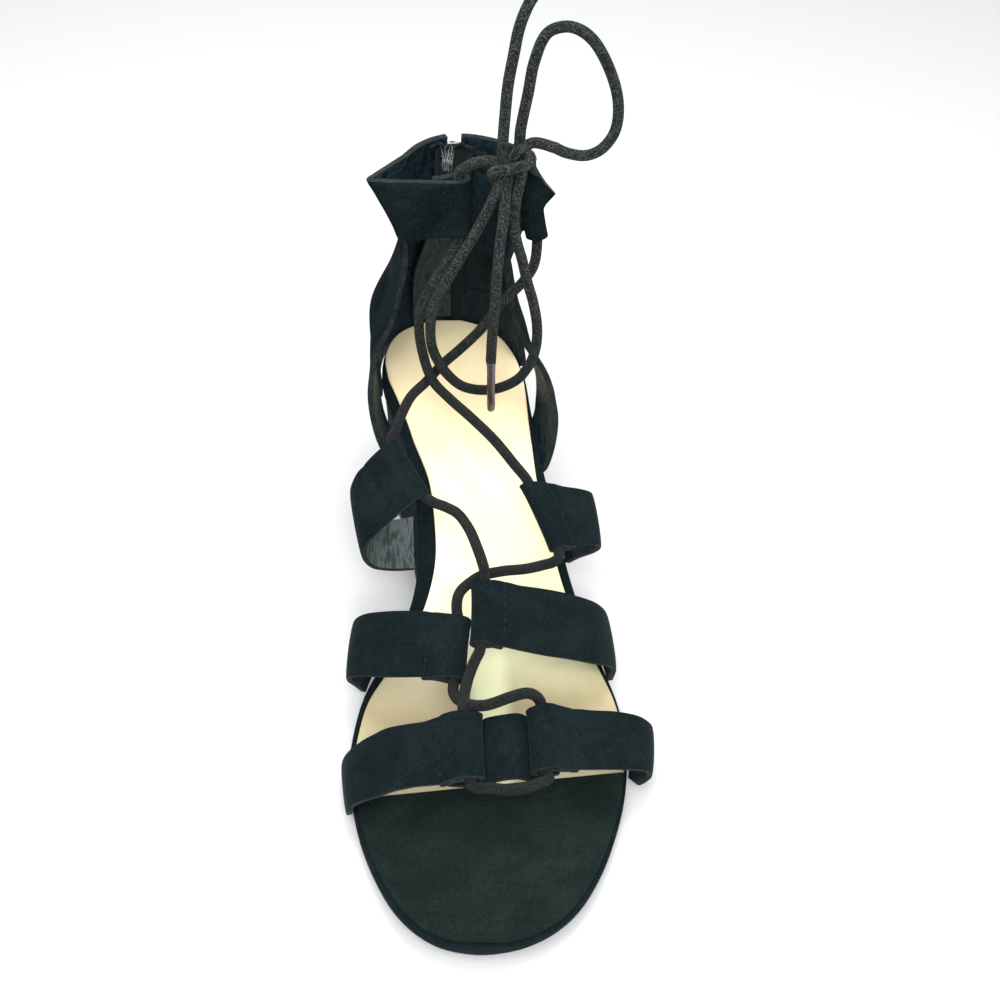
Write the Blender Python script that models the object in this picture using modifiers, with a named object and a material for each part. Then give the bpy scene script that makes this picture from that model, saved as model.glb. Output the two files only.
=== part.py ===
"""Lace-up wedge sandal for the left foot, one solid for each piece that a shoemaker joins.

X runs across the foot with the outer (lateral) side at +X, Y runs from the toe to the heel and Z is up.
The tables are in millimetres: y is measured from the toe, z from the floor. place() turns them into
metres with the origin under the middle of the shoe.
"""
import math

import bmesh
import bpy
from mathutils import Vector

# Driving dimensions, millimetres
TOE_Y, HEEL_Y = 3.0, 239.5            # ends of the footbed board
BALL_Y, BALL_Z = 60.0, 6.4            # where the forefoot rests, and the footbed's height there
CENTRE_X, CENTRE_Y = 8.2, 122.87       # middle of the standing shoe
OUTSOLE, BOARD, SOCK = 2.4, 2.6, 0.8  # thicknesses of the sole's layers
GAP = 0.3                             # clearance between neighbouring pieces
WEDGE_Y = 98.0                        # front of the wedge
STRAP, REAR = 1.8, 2.0                # walls of the straps and of the rear upper
LACE, AGLET = 3.6, 2.9                # diameters
HEM_R = 2.9                           # radius of the fold that holds the lace
COLLAR_LOW, COLLAR_TOP = 113.0, 138.0
HEEL_BULGE = 80.0
ZIP_SLOT = 5.2
PULL, PULL_Y = 14.0, 235.4             # the pull tab's length and its hinge's y

FOOTBED = (  # y, height of the footbed
    (0, 10.3), (15, 9.0), (35, 7.4), (60, 6.4), (85, 6.6), (105, 9.2), (125, 16.4), (145, 26.2),
    (165, 36.4), (185, 45.2), (205, 51.6), (225, 55.4), (243, 57.4))
OUTLINE = (  # y, inner side x, outer side x of the board
    (3, -0.8, -0.8), (5.2, -13.0, 12.0), (14.3, -23.9, 25.7), (27, -30.6, 34.8), (40, -34.9, 41.0),
    (54, -37.5, 46.0), (68, -38.6, 49.0), (80, -37.3, 50.1), (92, -34.7, 49.2), (101, -31.0, 47.2),
    (114, -23.6, 43.2), (127.5, -17.8, 39.3), (140.5, -15.2, 36.0), (155, -15.4, 33.6),
    (168, -16.4, 30.6), (182, -19.6, 28.3), (196, -24.8, 26.7), (202.5, -26.6, 26.2),
    (209, -27.5, 25.5), (221, -26.3, 22.3), (231, -21.5, 16.5), (237, -13.0, 8.5), (239.5, -2.2, -2.2))
RIM = (  # y, width of the bare rim beside the sock, inner and outer side
    (40, 1.5, 1.3), (88, 2.0, 1.1), (104, 3.4, 1.8), (127, 4.9, 3.3), (145, 6.0, 3.5),
    (165, 5.4, 3.6), (180, 3.2, 2.4), (190, 3.5, 1.8), (199, 3.6, 1.2),
    (208, 2.3, 1.0), (218, 0.8, 0.8), (240, 0.5, 0.5))
GROUND = (  # y, how far the sole's underside stands out past the board, inner and outer side
    (0, -1.4, -1.4), (60, -0.9, -0.9), (100, -0.8, -0.8), (125, -0.6, -0.6), (148, -0.4, -0.4),
    (172, 0.2, -0.6), (198, -2.0, -1.4), (225, -2.6, -2.6), (240, -3.4, -3.4))
TOE_COVER = (54.0, 64.0)  # y of the cover's rear edge at the inner and the outer side

# Straps: x, y, z of the front edge and of the back edge, row by row from the sole upward
FRONT_STRAP = (
    (-38.4, 50.5, 3.6, -39.9, 68.0, 3.0), (-38.0, 48.0, 9.2, -40.1, 66.4, 7.7),
    (-37.3, 47.3, 12.8, -38.8, 65.8, 13.1), (-33.4, 46.8, 16.5, -35.0, 66.1, 18.2),
    (-26.9, 46.5, 20.5, -28.9, 66.3, 23.8), (-19.4, 46.3, 23.8, -22.0, 65.7, 27.5),
    (-12.5, 46.0, 25.4, -14.5, 65.7, 29.5), (-8.6, 46.0, 27.6, -9.4, 66.0, 32.7),
    (-4.5, 46.1, 28.8, -4.8, 66.1, 34.0), (-1.0, 46.4, 28.4, -0.8, 66.3, 33.4),
    (0.9, 46.9, 26.4, 1.5, 66.6, 30.8), (2.4, 47.4, 24.3, 3.2, 66.9, 28.5),
    (7.5, 48.2, 24.2, 8.5, 67.5, 28.7), (12.6, 48.8, 24.2, 13.4, 68.0, 29.2),
    (14.4, 49.0, 26.2, 15.3, 68.1, 31.3), (16.8, 49.3, 28.0, 17.8, 68.4, 33.3),
    (20.2, 49.9, 28.3, 21.2, 68.9, 33.8), (24.0, 51.0, 26.8, 25.2, 69.4, 32.0),
    (27.4, 51.9, 24.8, 29.2, 70.0, 30.0), (33.0, 53.3, 22.6, 36.0, 71.0, 27.8),
    (39.8, 55.0, 20.4, 43.6, 72.2, 25.8), (46.8, 56.2, 18.8, 50.2, 73.4, 22.4),
    (52.0, 57.2, 16.4, 55.1, 74.3, 17.1), (53.2, 58.2, 12.2, 56.5, 75.9, 11.0),
    (50.6, 59.0, 7.6, 55.2, 78.6, 6.4), (49.7, 63.5, 3.6, 51.4, 80.0, 3.2))
FRONT_UNDER = (
    (-22.0, 46.4, 21.0, -24.0, 66.2, 25.8), (-12.5, 46.2, 23.8, -14.5, 66.2, 28.2),
    (-8.0, 46.3, 23.0, -9.0, 66.3, 27.8), (-3.0, 46.8, 22.4, -3.0, 66.6, 27.0),
    (2.4, 47.5, 22.6, 3.2, 66.9, 26.9), (7.5, 48.3, 22.6, 8.5, 67.5, 27.1),
    (12.6, 48.9, 22.4, 13.4, 68.0, 27.4), (18.0, 49.7, 21.9, 19.2, 68.6, 27.2),
    (23.0, 50.9, 22.4, 24.6, 69.3, 27.7), (27.4, 52.0, 23.2, 29.2, 70.0, 28.4),
    (34.0, 53.6, 20.6, 37.0, 71.2, 25.9))
SECOND_INNER = (
    (-34.2, 98.0, 4.4, -27.3, 112.5, 8.3), (-36.5, 94.7, 11.4, -33.0, 111.5, 15.0),
    (-38.7, 92.7, 16.3, -36.6, 110.6, 20.6), (-38.3, 90.8, 20.5, -36.5, 109.6, 26.4),
    (-34.2, 88.4, 23.8, -33.6, 107.8, 31.3), (-28.2, 86.0, 26.2, -28.4, 106.1, 34.3),
    (-21.3, 84.4, 28.1, -21.7, 104.5, 36.5), (-13.9, 83.1, 29.7, -14.2, 103.1, 37.7),
    (-6.0, 82.2, 30.7, -3.1, 101.9, 37.1))
SECOND_OUTER = (
    (48.4, 102.5, 5.0, 43.7, 118.0, 10.0), (48.1, 99.8, 11.4, 47.1, 117.7, 14.7),
    (47.7, 98.4, 15.6, 47.0, 116.8, 20.1), (45.4, 96.4, 19.4, 44.6, 115.7, 25.7),
    (41.1, 94.2, 22.9, 39.5, 114.3, 31.0), (31.5, 92.7, 27.1, 30.0, 112.4, 36.6),
    (22.9, 91.8, 30.0, 22.5, 111.5, 39.4), (15.1, 91.4, 32.8, 15.5, 110.9, 41.4),
    (8.9, 90.8, 35.4, 10.0, 110.3, 43.8), (4.1, 90.3, 37.8, 4.8, 109.6, 45.4))
THIRD_INNER = (
    (-16.7, 139.5, 20.4, -16.9, 156.5, 29.4), (-24.0, 136.9, 22.7, -24.6, 154.5, 29.8),
    (-30.5, 134.8, 26.0, -32.6, 152.9, 35.1), (-33.9, 134.0, 31.4, -37.2, 151.2, 41.4),
    (-33.5, 134.0, 37.0, -38.0, 150.6, 47.4), (-30.3, 134.6, 41.4, -36.3, 152.0, 52.6),
    (-24.5, 137.0, 46.5, -32.5, 154.4, 56.8), (-19.0, 139.5, 50.8, -28.6, 156.4, 60.0),
    (-15.0, 141.0, 53.2, -25.6, 157.8, 62.0))
THIRD_OUTER = (
    (36.9, 142.0, 21.1, 34.9, 160.0, 30.2), (39.7, 138.0, 27.9, 37.5, 152.7, 32.5),
    (43.2, 136.3, 31.5, 41.0, 151.8, 37.6), (44.9, 134.4, 35.2, 43.0, 150.0, 42.5),
    (44.2, 132.5, 38.9, 42.6, 148.5, 47.5), (39.9, 129.6, 41.7, 38.3, 146.7, 50.9),
    (35.8, 127.2, 43.0, 32.0, 145.0, 53.6), (33.0, 125.8, 44.6, 26.5, 143.6, 56.4),
    (31.2, 125.0, 45.6, 21.5, 142.4, 58.2))

# Rear upper: middle of the wall at the rim, the heel's bulge, the collar's lower and upper edge
COUNTER = (  # t (-1 inner front edge, 0 back, 1 outer front edge), rim y, then x, y at the three heights
    (-1.0, 203.0, -30.3, 208.0, -19.9, 216.5, -20.5, 214.5),
    (-0.75, 215.0, -30.8, 217.0, -19.2, 219.6, -18.5, 218.0),
    (-0.5, 227.0, -26.5, 228.0, -17.0, 224.6, -15.5, 222.5),
    (-0.25, 236.0, -16.0, 237.2, -11.0, 230.0, -10.0, 227.4),
    (0.0, 239.5, -3.0, 240.9, -3.5, 232.0, -3.5, 229.6),
    (0.25, 236.5, 9.0, 237.0, 4.0, 230.4, 3.6, 228.8),
    (0.5, 230.5, 16.2, 229.8, 10.8, 226.4, 11.0, 225.4),
    (0.75, 224.0, 18.8, 224.4, 14.2, 222.3, 16.4, 221.2),
    (1.0, 217.0, 19.4, 218.8, 15.2, 218.0, 20.0, 216.6))
COLLAR_INNER = (  # step ahead of the counter, x, y at the lower and upper edge, both edges' height
    (0, -19.9, 216.5, -20.5, 214.5, 113, 138), (1, -21.2, 209.5, -25.6, 208.0, 113.3, 138),
    (2, -21.6, 204.4, -30.3, 202.0, 113.8, 138), (3, -20.2, 201.2, -32.1, 198.9, 114.7, 138),
    (4, -15.4, 200.5, -26.6, 197.9, 115.3, 138), (5, -11.2, 200.0, -17.6, 197.5, 116.2, 138),
    (6, -7.2, 199.5, -10.4, 197.1, 117, 138), (7, -3.0, 199.0, -3.8, 196.8, 117.2, 138))
COLLAR_OUTER = (
    (0, 15.2, 218.0, 20.0, 216.6, 113, 138), (1, 15.4, 213.6, 24.6, 212.0, 113.6, 136),
    (2, 16.4, 209.4, 27.2, 207.6, 114.8, 134), (3, 20.0, 206.6, 27.6, 204.0, 116.2, 132),
    (4, 24.0, 204.0, 25.8, 201.4, 117, 135), (5, 25.9, 200.6, 22.9, 199.8, 117.2, 137))
QUARTER_INNER = (  # front edge and back edge below the collar
    (-20.4, 198.8, 104.0, -21.7, 214.0, 103.5), (-22.4, 196.0, 94.5, -25.0, 212.6, 93.0),
    (-24.6, 193.0, 86.0, -27.8, 210.6, 83.5), (-30.2, 188.0, 75.5, -30.9, 204.5, 71.1),
    (-31.9, 182.6, 66.6, -30.9, 200.9, 62.6), (-30.9, 177.1, 57.6, -29.2, 197.3, 53.7),
    (-27.7, 171.5, 49.0, -27.9, 194.5, 47.6), (-21.6, 167.4, 41.0, -26.2, 190.5, 44.7),
    (-17.8, 165.0, 33.8, -24.7, 189.1, 43.5))
QUARTER_OUTER = (
    (15.4, 205.6, 104.0, 16.2, 216.4, 103.5), (16.4, 203.2, 94.0, 17.6, 215.4, 93.5),
    (18.4, 201.0, 84.5, 20.0, 214.0, 83.0), (21.8, 197.1, 77.1, 23.2, 211.8, 74.5),
    (27.1, 191.7, 71.1, 26.1, 207.1, 65.3), (31.7, 185.9, 64.1, 29.3, 203.4, 58.1),
    (33.5, 179.3, 55.9, 29.8, 200.4, 53.1), (32.7, 174.2, 48.2, 29.5, 197.8, 49.6),
    (31.6, 171.6, 39.3, 28.7, 193.2, 46.6),
    (31.4, 170.6, 35.8, 28.6, 192.4, 43.0))

# Lace: points chosen along its route
LACE_BAR = ((-2.8, 46.0, 25.4), (-0.6, 44.8, 25.4), (3.0, 44.5, 25.6), (8.7, 43.9, 25.6),
            (14.3, 45.0, 25.6), (18.4, 46.9, 25.4), (20.6, 48.6, 25.2))
CROSSING_1 = (
    ((-6.2, 80.1, 27.1), (-5.5, 76.8, 27.6), (-3.9, 73.1, 29.8), (-1.2, 70.1, 32.0), (3.3, 69.4, 32.8),
     (10.5, 70.9, 34.8), (15.4, 72.2, 35.1), (18.6, 72.3, 33.1), (19.9, 71.0, 31.0)),
    ((2.3, 89.4, 35.1), (0.6, 86.3, 33.9), (-1.5, 81.3, 32.7), (-3.0, 75.8, 32.2), (-3.5, 71.9, 31.7),
     (-3.8, 69.0, 31.5)))
CROSSING_2 = (
    ((-4.2, 104.8, 36.3), (-4.1, 107.2, 38.4), (-3.1, 109.8, 39.9), (-0.4, 112.9, 40.4), (3.9, 115.1, 41.8),
     (11.5, 117.5, 41.7), (18.4, 118.7, 41.4), (24.4, 120.6, 41.3), (28.2, 121.6, 41.9), (29.8, 123.0, 43.2)),
    ((4.9, 113.3, 44.1), (4.3, 116.0, 46.4), (2.5, 121.1, 49.0), (0.2, 127.5, 50.9), (-3.1, 133.5, 52.1),
     (-6.9, 137.2, 51.8), (-11.1, 139.8, 51.7)))
CROSSING_3 = (
    ((20.1, 144.3, 57.4), (16.3, 149.1, 59.8), (10.0, 157.8, 63.2), (2.1, 167.9, 65.5), (-4.8, 175.3, 67.7),
     (-10.4, 180.2, 71.8), (-14.1, 186.3, 80.1), (-15.3, 189.2, 89.6), (-14.1, 190.2, 97.0),
     (-10.4, 193.8, 102.6), (-5.9, 198.6, 108.4), (-2.6, 201.2, 114.8)),
    ((-24.6, 162.0, 61.2), (-23.3, 164.2, 62.5), (-21.0, 169.1, 66.1), (-17.7, 174.7, 69.1),
     (-12.6, 180.1, 71.0), (-6.8, 184.7, 75.3), (-1.0, 186.3, 80.5), (5.6, 188.3, 87.0),
     (13.5, 193.1, 95.9), (19.1, 195.5, 100.7), (23.2, 198.1, 106.4), (23.9, 200.7, 115.0)))
KNOT = (13.8, 192.6, 145.6)
KNOT_RADII = (8.0, 5.0, 6.6)
TIE_INNER = ((-3.4, 199.6, 140.1), (-1.6, 198.4, 142.2), (1.4, 196.2, 145.2), (5.0, 194.3, 146.8))
TIE_OUTER = ((19.6, 202.3, 142.2), (19.4, 200.4, 144.4), (18.0, 198.2, 146.0))
LOOP_LOW = ((7.0, 188.8, 139.6), (2.3, 186.6, 131.0), (-3.3, 184.3, 119.2), (-8.7, 182.2, 108.1),
            (-11.2, 180.9, 100.4), (-11.8, 180.3, 93.3), (-11.1, 180.0, 86.2), (-8.8, 180.0, 80.0),
            (-5.2, 179.5, 74.5), (-0.2, 179.2, 70.0), (6.4, 179.3, 68.2), (13.0, 179.7, 68.9),
            (19.0, 180.2, 72.3), (22.8, 180.9, 78.5), (24.2, 181.5, 85.1), (24.0, 182.4, 92.6),
            (22.1, 183.1, 101.3), (19.5, 184.4, 109.0), (16.4, 185.4, 116.7), (14.0, 186.3, 123.6),
            (13.2, 187.2, 131.0), (14.3, 188.3, 138.1))
TAIL_LOW = ((10.7, 187.6, 139.2), (10.1, 183.0, 134.1), (9.2, 179.5, 125.4), (8.7, 177.2, 115.1),
            (8.6, 176.0, 105.2), (8.4, 174.8, 94.3), (8.6, 175.1, 83.5))
AGLET_LOW = ((8.7, 175.2, 83.2), (9.7, 173.1, 63.9))
LOOP_HIGH = ((14.6, 194.9, 152.5), (14.6, 194.9, 157.2), (16.1, 195.7, 168.8), (17.4, 197.9, 177.3),
             (20.7, 200.1, 185.0), (26.3, 201.0, 186.8), (32.0, 202.2, 184.6), (37.3, 203.4, 179.2),
             (42.8, 202.7, 169.5), (45.1, 200.9, 161.5), (44.6, 198.9, 154.4), (41.0, 197.6, 149.2),
             (36.0, 196.6, 147.4), (29.8, 195.8, 148.7), (25.6, 195.5, 150.7), (22.0, 195.7, 151.8))
TAIL_HIGH = ((9.0, 190.6, 151.9), (8.9, 190.4, 156.1), (9.0, 190.7, 165.1), (9.2, 190.5, 173.4),
             (10.2, 190.7, 182.2), (11.6, 191.4, 191.4), (14.8, 192.8, 198.8), (20.4, 195.0, 204.4),
             (27.6, 197.8, 207.2))
AGLET_HIGH = ((28.35, 198.1, 207.2), (43.2, 204.8, 203.4))


def place(x, y, z):
    """A point of the tables in metres, about the shoe's own origin."""
    return Vector(((x - CENTRE_X) / 1000, (y - CENTRE_Y) / 1000, z / 1000))


def smooth_row(table, key):
    """The table's values at key, on a curve that runs smoothly through its rows."""
    last = len(table) - 1
    key = min(max(key, table[0][0]), table[last][0])
    i = next(k for k in range(last) if key <= table[k + 1][0])
    before, start, end, after = (table[min(max(k, 0), last)] for k in (i - 1, i, i + 1, i + 2))
    span = end[0] - start[0]
    u = (key - start[0]) / span
    values = []
    for a, b, c, d in zip(before[1:], start[1:], end[1:], after[1:]):
        slope_b = (c - a) / (end[0] - before[0]) * span
        slope_c = (d - b) / (after[0] - start[0]) * span
        values.append(b * (2 * u**3 - 3 * u**2 + 1) + slope_b * (u**3 - 2 * u**2 + u)
                      + c * (3 * u**2 - 2 * u**3) + slope_c * (u**3 - u**2))
    return values


def footbed(y):
    """Height of the footbed's top."""
    return smooth_row(FOOTBED, y)[0]


def ground(y):
    """Height of the sole's underside: flat from the ball backward, sprung up at the toe."""
    return max(footbed(y) - BALL_Z, 0.0) if y < BALL_Y else 0.0


def turn(y):
    """The angle that stands for y along the outline, so that its ends come out round."""
    return math.acos(min(max(1 - 2 * (y - TOE_Y) / (HEEL_Y - TOE_Y), -1), 1))


TURNED_OUTLINE = tuple((turn(y), inner, outer) for y, inner, outer in OUTLINE)


def outline_point(angle, side):
    """The board's edge (x, y) at an outline angle, on the inner (0) or outer (1) side."""
    y = TOE_Y + (HEEL_Y - TOE_Y) * (1 - math.cos(angle)) / 2
    return smooth_row(TURNED_OUTLINE, angle)[side], y


def edge(angle, side, out=0.0):
    """The board's edge moved outward by out, square to the outline."""
    step = 0.02
    x0, y0 = outline_point(max(angle - step, 0), side)
    x1, y1 = outline_point(min(angle + step, math.pi), side)
    x, y = outline_point(angle, side)
    length = math.hypot(x1 - x0, y1 - y0)
    sign = 1 if side else -1
    return x + sign * out * (y1 - y0) / length, y - sign * out * (x1 - x0) / length


def table_at(table, y, side):
    """A two-sided table's value at y."""
    return smooth_row(table, y)[side]


# Making the meshes

def make_material(name, colour, roughness, metallic=0.0):
    """A plain material in the part's colour."""
    material = bpy.data.materials.new(name)
    material.use_nodes = True
    shader = material.node_tree.nodes["Principled BSDF"]
    shader.inputs["Base Color"].default_value = (*colour, 1)
    shader.inputs["Roughness"].default_value = roughness
    shader.inputs["Metallic"].default_value = metallic
    return material


def new_collection(name):
    """A collection of the scene."""
    collection = bpy.data.collections.new(name)
    bpy.context.scene.collection.children.link(collection)
    return collection


def finish(name, bm, material, collection):
    """Turn a bmesh into a named object with its faces pointing out."""
    bmesh.ops.recalc_face_normals(bm, faces=bm.faces)
    mesh = bpy.data.meshes.new(name)
    bm.to_mesh(mesh)
    bm.free()
    mesh.shade_smooth()
    mesh.set_sharp_from_angle(angle=math.radians(35))
    mesh.materials.append(material)
    piece = bpy.data.objects.new(name, mesh)
    collection.objects.link(piece)
    return piece


def loft(name, rings, material, collection):
    """A closed solid through rings of equally many points, capped at both ends."""
    bm = bmesh.new()
    loops = [[bm.verts.new(place(*point)) for point in ring] for ring in rings]
    for low, high in zip(loops, loops[1:]):
        for i in range(len(low)):
            j = (i + 1) % len(low)
            bm.faces.new((low[i], low[j], high[j], high[i]))
    bm.faces.new(loops[0])
    bm.faces.new(loops[-1])
    return finish(name, bm, material, collection)


def solidify(piece, thickness):
    """Give an open sheet its wall, half to each side."""
    wall = piece.modifiers.new("wall", 'SOLIDIFY')
    wall.thickness = thickness / 1000
    wall.offset = 0.0
    wall.use_even_offset = True
    return piece


def sheet(name, lanes, thickness, material, collection):
    """A wall of even thickness over a grid of lanes."""
    bm = bmesh.new()
    grid = [[bm.verts.new(place(*point)) for point in lane] for lane in lanes]
    for low, high in zip(grid, grid[1:]):
        for i in range(len(low) - 1):
            bm.faces.new((low[i], low[i + 1], high[i + 1], high[i]))
    return solidify(finish(name, bm, material, collection), thickness)


def strap_lanes(rows, lanes, steps):
    """Lanes between a strap's front and back edge, smoothed to a number of steps between rows."""
    table = [(i, *row) for i, row in enumerate(rows)]
    count = steps * (len(rows) - 1)
    points = [smooth_row(table, i / steps) for i in range(count + 1)]
    return [[Vector(p[:3]).lerp(Vector(p[3:]), k / (lanes - 1)) for p in points] for k in range(lanes)]


def hem(lane, across, wall, angles=(30, 60, 90, 120, 150, 180)):
    """Fold a lane's end back under itself round the lace, towards across x its direction."""
    end, ahead = lane[-1], (lane[-1] - lane[-2]).normalized()
    inward = across.cross(ahead).normalized()
    middle = end + inward * HEM_R
    points = [middle + (ahead * math.sin(a) - inward * math.cos(a)) * HEM_R for a in map(math.radians, angles)]
    close = wall + GAP + 0.05
    for back, depth in ((3.5, 1.6 * HEM_R), (7.5, 0.5 * (close + 1.6 * HEM_R)), (11.0, close)):
        walked, k = 0.0, len(lane) - 1
        while k > 1 and walked + (lane[k] - lane[k - 1]).length < back:
            walked += (lane[k] - lane[k - 1]).length
            k -= 1
        run = lane[k - 1] - lane[k]
        foot = lane[k] + run.normalized() * (back - walked)
        normal = across.cross(-run).normalized()
        points.append(foot + normal * depth)
    return lane + points


def tab(name, rows, side, material, collection, lanes=3, steps=2):
    """A strap that ends in a fold round the lace; side is 1 or -1 for the fold's direction."""
    grid = strap_lanes(rows, lanes, steps)
    across = (grid[-1][-1] - grid[0][-1]).normalized() * side
    return sheet(name, [hem(lane, across, STRAP) for lane in grid], STRAP, material, collection)


def smooth_route(route, spacing):
    """Evenly spaced points on a smooth curve through a route."""
    lengths = [0.0]
    for a, b in zip(route, route[1:]):
        lengths.append(lengths[-1] + math.dist(a, b))
    table = [(s, *point) for s, point in zip(lengths, route)]
    count = max(2, round(lengths[-1] / spacing))
    return [smooth_row(table, lengths[-1] * i / count) for i in range(count + 1)]


def cord(name, route, diameter, material, collection, spacing=4.5):
    """A round cord along a route."""
    curve = bpy.data.curves.new(name, 'CURVE')
    curve.dimensions = '3D'
    curve.bevel_depth = diameter / 2000
    curve.bevel_resolution = 2
    curve.use_fill_caps = True
    points = smooth_route(route, spacing)
    spline = curve.splines.new('POLY')
    spline.points.add(len(points) - 1)
    for knot, point in zip(spline.points, points):
        knot.co = (*place(*point), 1)
    curve.materials.append(material)
    piece = bpy.data.objects.new(name, curve)
    collection.objects.link(piece)
    return piece


def as_mesh(piece, collection):
    """The same cord as a closed mesh, which a Boolean can join."""
    bpy.context.view_layer.update()
    evaluated = piece.evaluated_get(bpy.context.evaluated_depsgraph_get())
    mesh = bpy.data.meshes.new_from_object(evaluated)
    bm = bmesh.new()
    bm.from_mesh(mesh)
    bmesh.ops.remove_doubles(bm, verts=bm.verts, dist=0.00001)
    bm.to_mesh(mesh)
    bm.free()
    name, matrix = piece.name, piece.matrix_world.copy()
    bpy.data.objects.remove(piece)
    solid = bpy.data.objects.new(name, mesh)
    solid.matrix_world = matrix
    collection.objects.link(solid)
    return solid


def join(piece, other, operation='UNION'):
    """Unite another solid with a piece, or cut it out, and keep it only as a hidden helper."""
    other.hide_render = True
    other.display_type = 'WIRE'
    boolean = piece.modifiers.new("with " + other.name, 'BOOLEAN')
    boolean.operation = operation
    boolean.solver = 'EXACT'
    boolean.object = other


# The pieces

def outline_angles(start_y, end_y, count):
    """Outline angles from one y to another."""
    a, b = turn(start_y), turn(end_y)
    return [a + (b - a) * i / count for i in range(count + 1)]


def ground_edge(angle, side):
    """The sole's underside edge."""
    return edge(angle, side, table_at(GROUND, outline_point(angle, side)[1], side))


def underside(y):
    """Height of the board's underside."""
    return footbed(y) - SOCK - GAP - BOARD


def build_outsole(material, collection):
    """The rubber outsole."""
    angles = outline_angles(TOE_Y + 0.35, WEDGE_Y, 16) + outline_angles(WEDGE_Y + 0.4, HEEL_Y - 0.35, 16)
    rings = []
    for angle in angles:
        (ax, ay), (bx, by) = ground_edge(angle, 0), ground_edge(angle, 1)
        covered = outline_point(angle, 0)[1] > WEDGE_Y
        a_top, b_top = (OUTSOLE if covered else underside(y) - GAP for y in (ay, by))
        a_low, b_low = ground(ay), ground(by)
        rings.append([(ax, ay, a_top), (bx, by, b_top), (bx, by, b_low + 0.6), (bx - 0.6, by, b_low),
                      (ax + 0.6, ay, a_low), (ax, ay, a_low + 0.6)])
    return loft("outsole", rings, material, collection)


def build_wedge(material, collection):
    """The covered wedge, its sides drawn in a little between top and bottom."""
    rings = []
    for angle in outline_angles(WEDGE_Y + 0.9, HEEL_Y - 0.4, 26):
        sides = []
        for side in (0, 1):
            tx, ty = edge(angle, side, -0.7)
            bx, by = ground_edge(angle, side)
            top, low = underside(ty) - GAP, OUTSOLE + GAP
            pull = (-1 if side else 1) * min(1.2, (top - low) * 0.04)
            sides.append([(tx + (bx - tx) * f + pull * math.sin(math.pi * f), ty + (by - ty) * f,
                           top + (low - top) * f) for f in (0, 0.33, 0.67, 1)])
        rings.append(sides[1] + sides[0][::-1])
    return loft("wedge", rings, material, collection)


def build_board(material, collection):
    """The footbed board, wrapped at its rim."""
    rings = []
    for angle in outline_angles(TOE_Y + 0.35, HEEL_Y - 0.35, 36):
        (ax, ay), (bx, by) = edge(angle, 0), edge(angle, 1)
        top = footbed(outline_point(angle, 0)[1]) - SOCK - GAP
        rings.append([(ax + 0.5, ay, top), (bx - 0.5, by, top), (bx, by, top - 0.6), (bx, by, top - BOARD),
                      (ax, ay, top - BOARD), (ax, ay, top - 0.6)])
    return loft("footbed_board", rings, material, collection)


def lining_ring(angles):
    """One section of the sock or the toe cover between its inner and outer edge."""
    points = []
    for side, angle in enumerate(angles):
        x, y = edge(angle, side, -table_at(RIM, outline_point(angle, side)[1], side))
        points.append((x, y, footbed(y)))
    (ax, ay, az), (bx, by, bz) = points
    return [(ax, ay, az), (bx, by, bz), (bx, by, bz - SOCK), (ax, ay, az - SOCK)]


def build_footbed_covers(sock_material, cover_material, collection):
    """The sock on the footbed and the toe cover ahead of it, which meet under the front strap."""
    front = [turn(y) for y in TOE_COVER]
    toe = turn(TOE_Y + 0.6)
    cover = [lining_ring([toe + (f - toe) * i / 14 for f in front]) for i in range(15)]
    heel = turn(HEEL_Y - 0.6)
    start = [turn(y + GAP) for y in TOE_COVER]
    sock = [lining_ring([f + (heel - f) * i / 28 for f in start]) for i in range(29)]
    loft("toe_cover", cover, cover_material, collection)
    loft("sock", sock, sock_material, collection)


def build_front_strap(material, collection, helpers):
    """The toe strap: an upper band with two raised channels for the lace, joined to a band under it."""
    upper = sheet("front_strap", strap_lanes(FRONT_STRAP, 3, 2), STRAP, material, collection)
    under = sheet("front_strap_under", strap_lanes(FRONT_UNDER, 3, 2), STRAP, material, helpers)
    join(upper, under)


def counter_point(t, z_share, zip_side=0):
    """The rear wall at t: z_share 0 at the board's underside, 1 at the rim, 2 to 4 up to the collar's top."""
    rim_y, x1, y1, x2, y2, x3, y3 = smooth_row(COUNTER, t)
    side = 1 if t > 0 else 0
    angle = turn(min(rim_y, HEEL_Y))
    x0, y0 = edge(angle, side, GAP + REAR / 2 + 0.35)
    if abs(t) < 1e-6 or zip_side:
        x0, y0 = outline_point(math.pi, 0)[0], HEEL_Y + GAP + REAR / 2 + 0.35
    rim = footbed(y0)
    low = rim - SOCK - GAP - BOARD
    levels = ((0, x0, y0, low), (1, x0, y0, rim + 1.5), (2, x1, y1, HEEL_BULGE),
              (2.5, x1 + (x2 - x1) * 0.62, (y1 + y2) / 2, (HEEL_BULGE + COLLAR_LOW) / 2),
              (3, x2, y2, COLLAR_LOW), (4, x3, y3, COLLAR_TOP))
    x, y, z = smooth_row(levels, z_share)
    return Vector((x + zip_side * (ZIP_SLOT + REAR) / 2 * 0.72, y - abs(zip_side) * 0.25, z))


def collar_point(table, step, share):
    """A point of the collar ahead of the counter; share runs from its lower to its upper edge."""
    x2, y2, x3, y3, low, top = smooth_row(table, step)
    return Vector((x2 + (x3 - x2) * share, y2 + (y3 - y2) * share, low + (top - low) * share))


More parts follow.
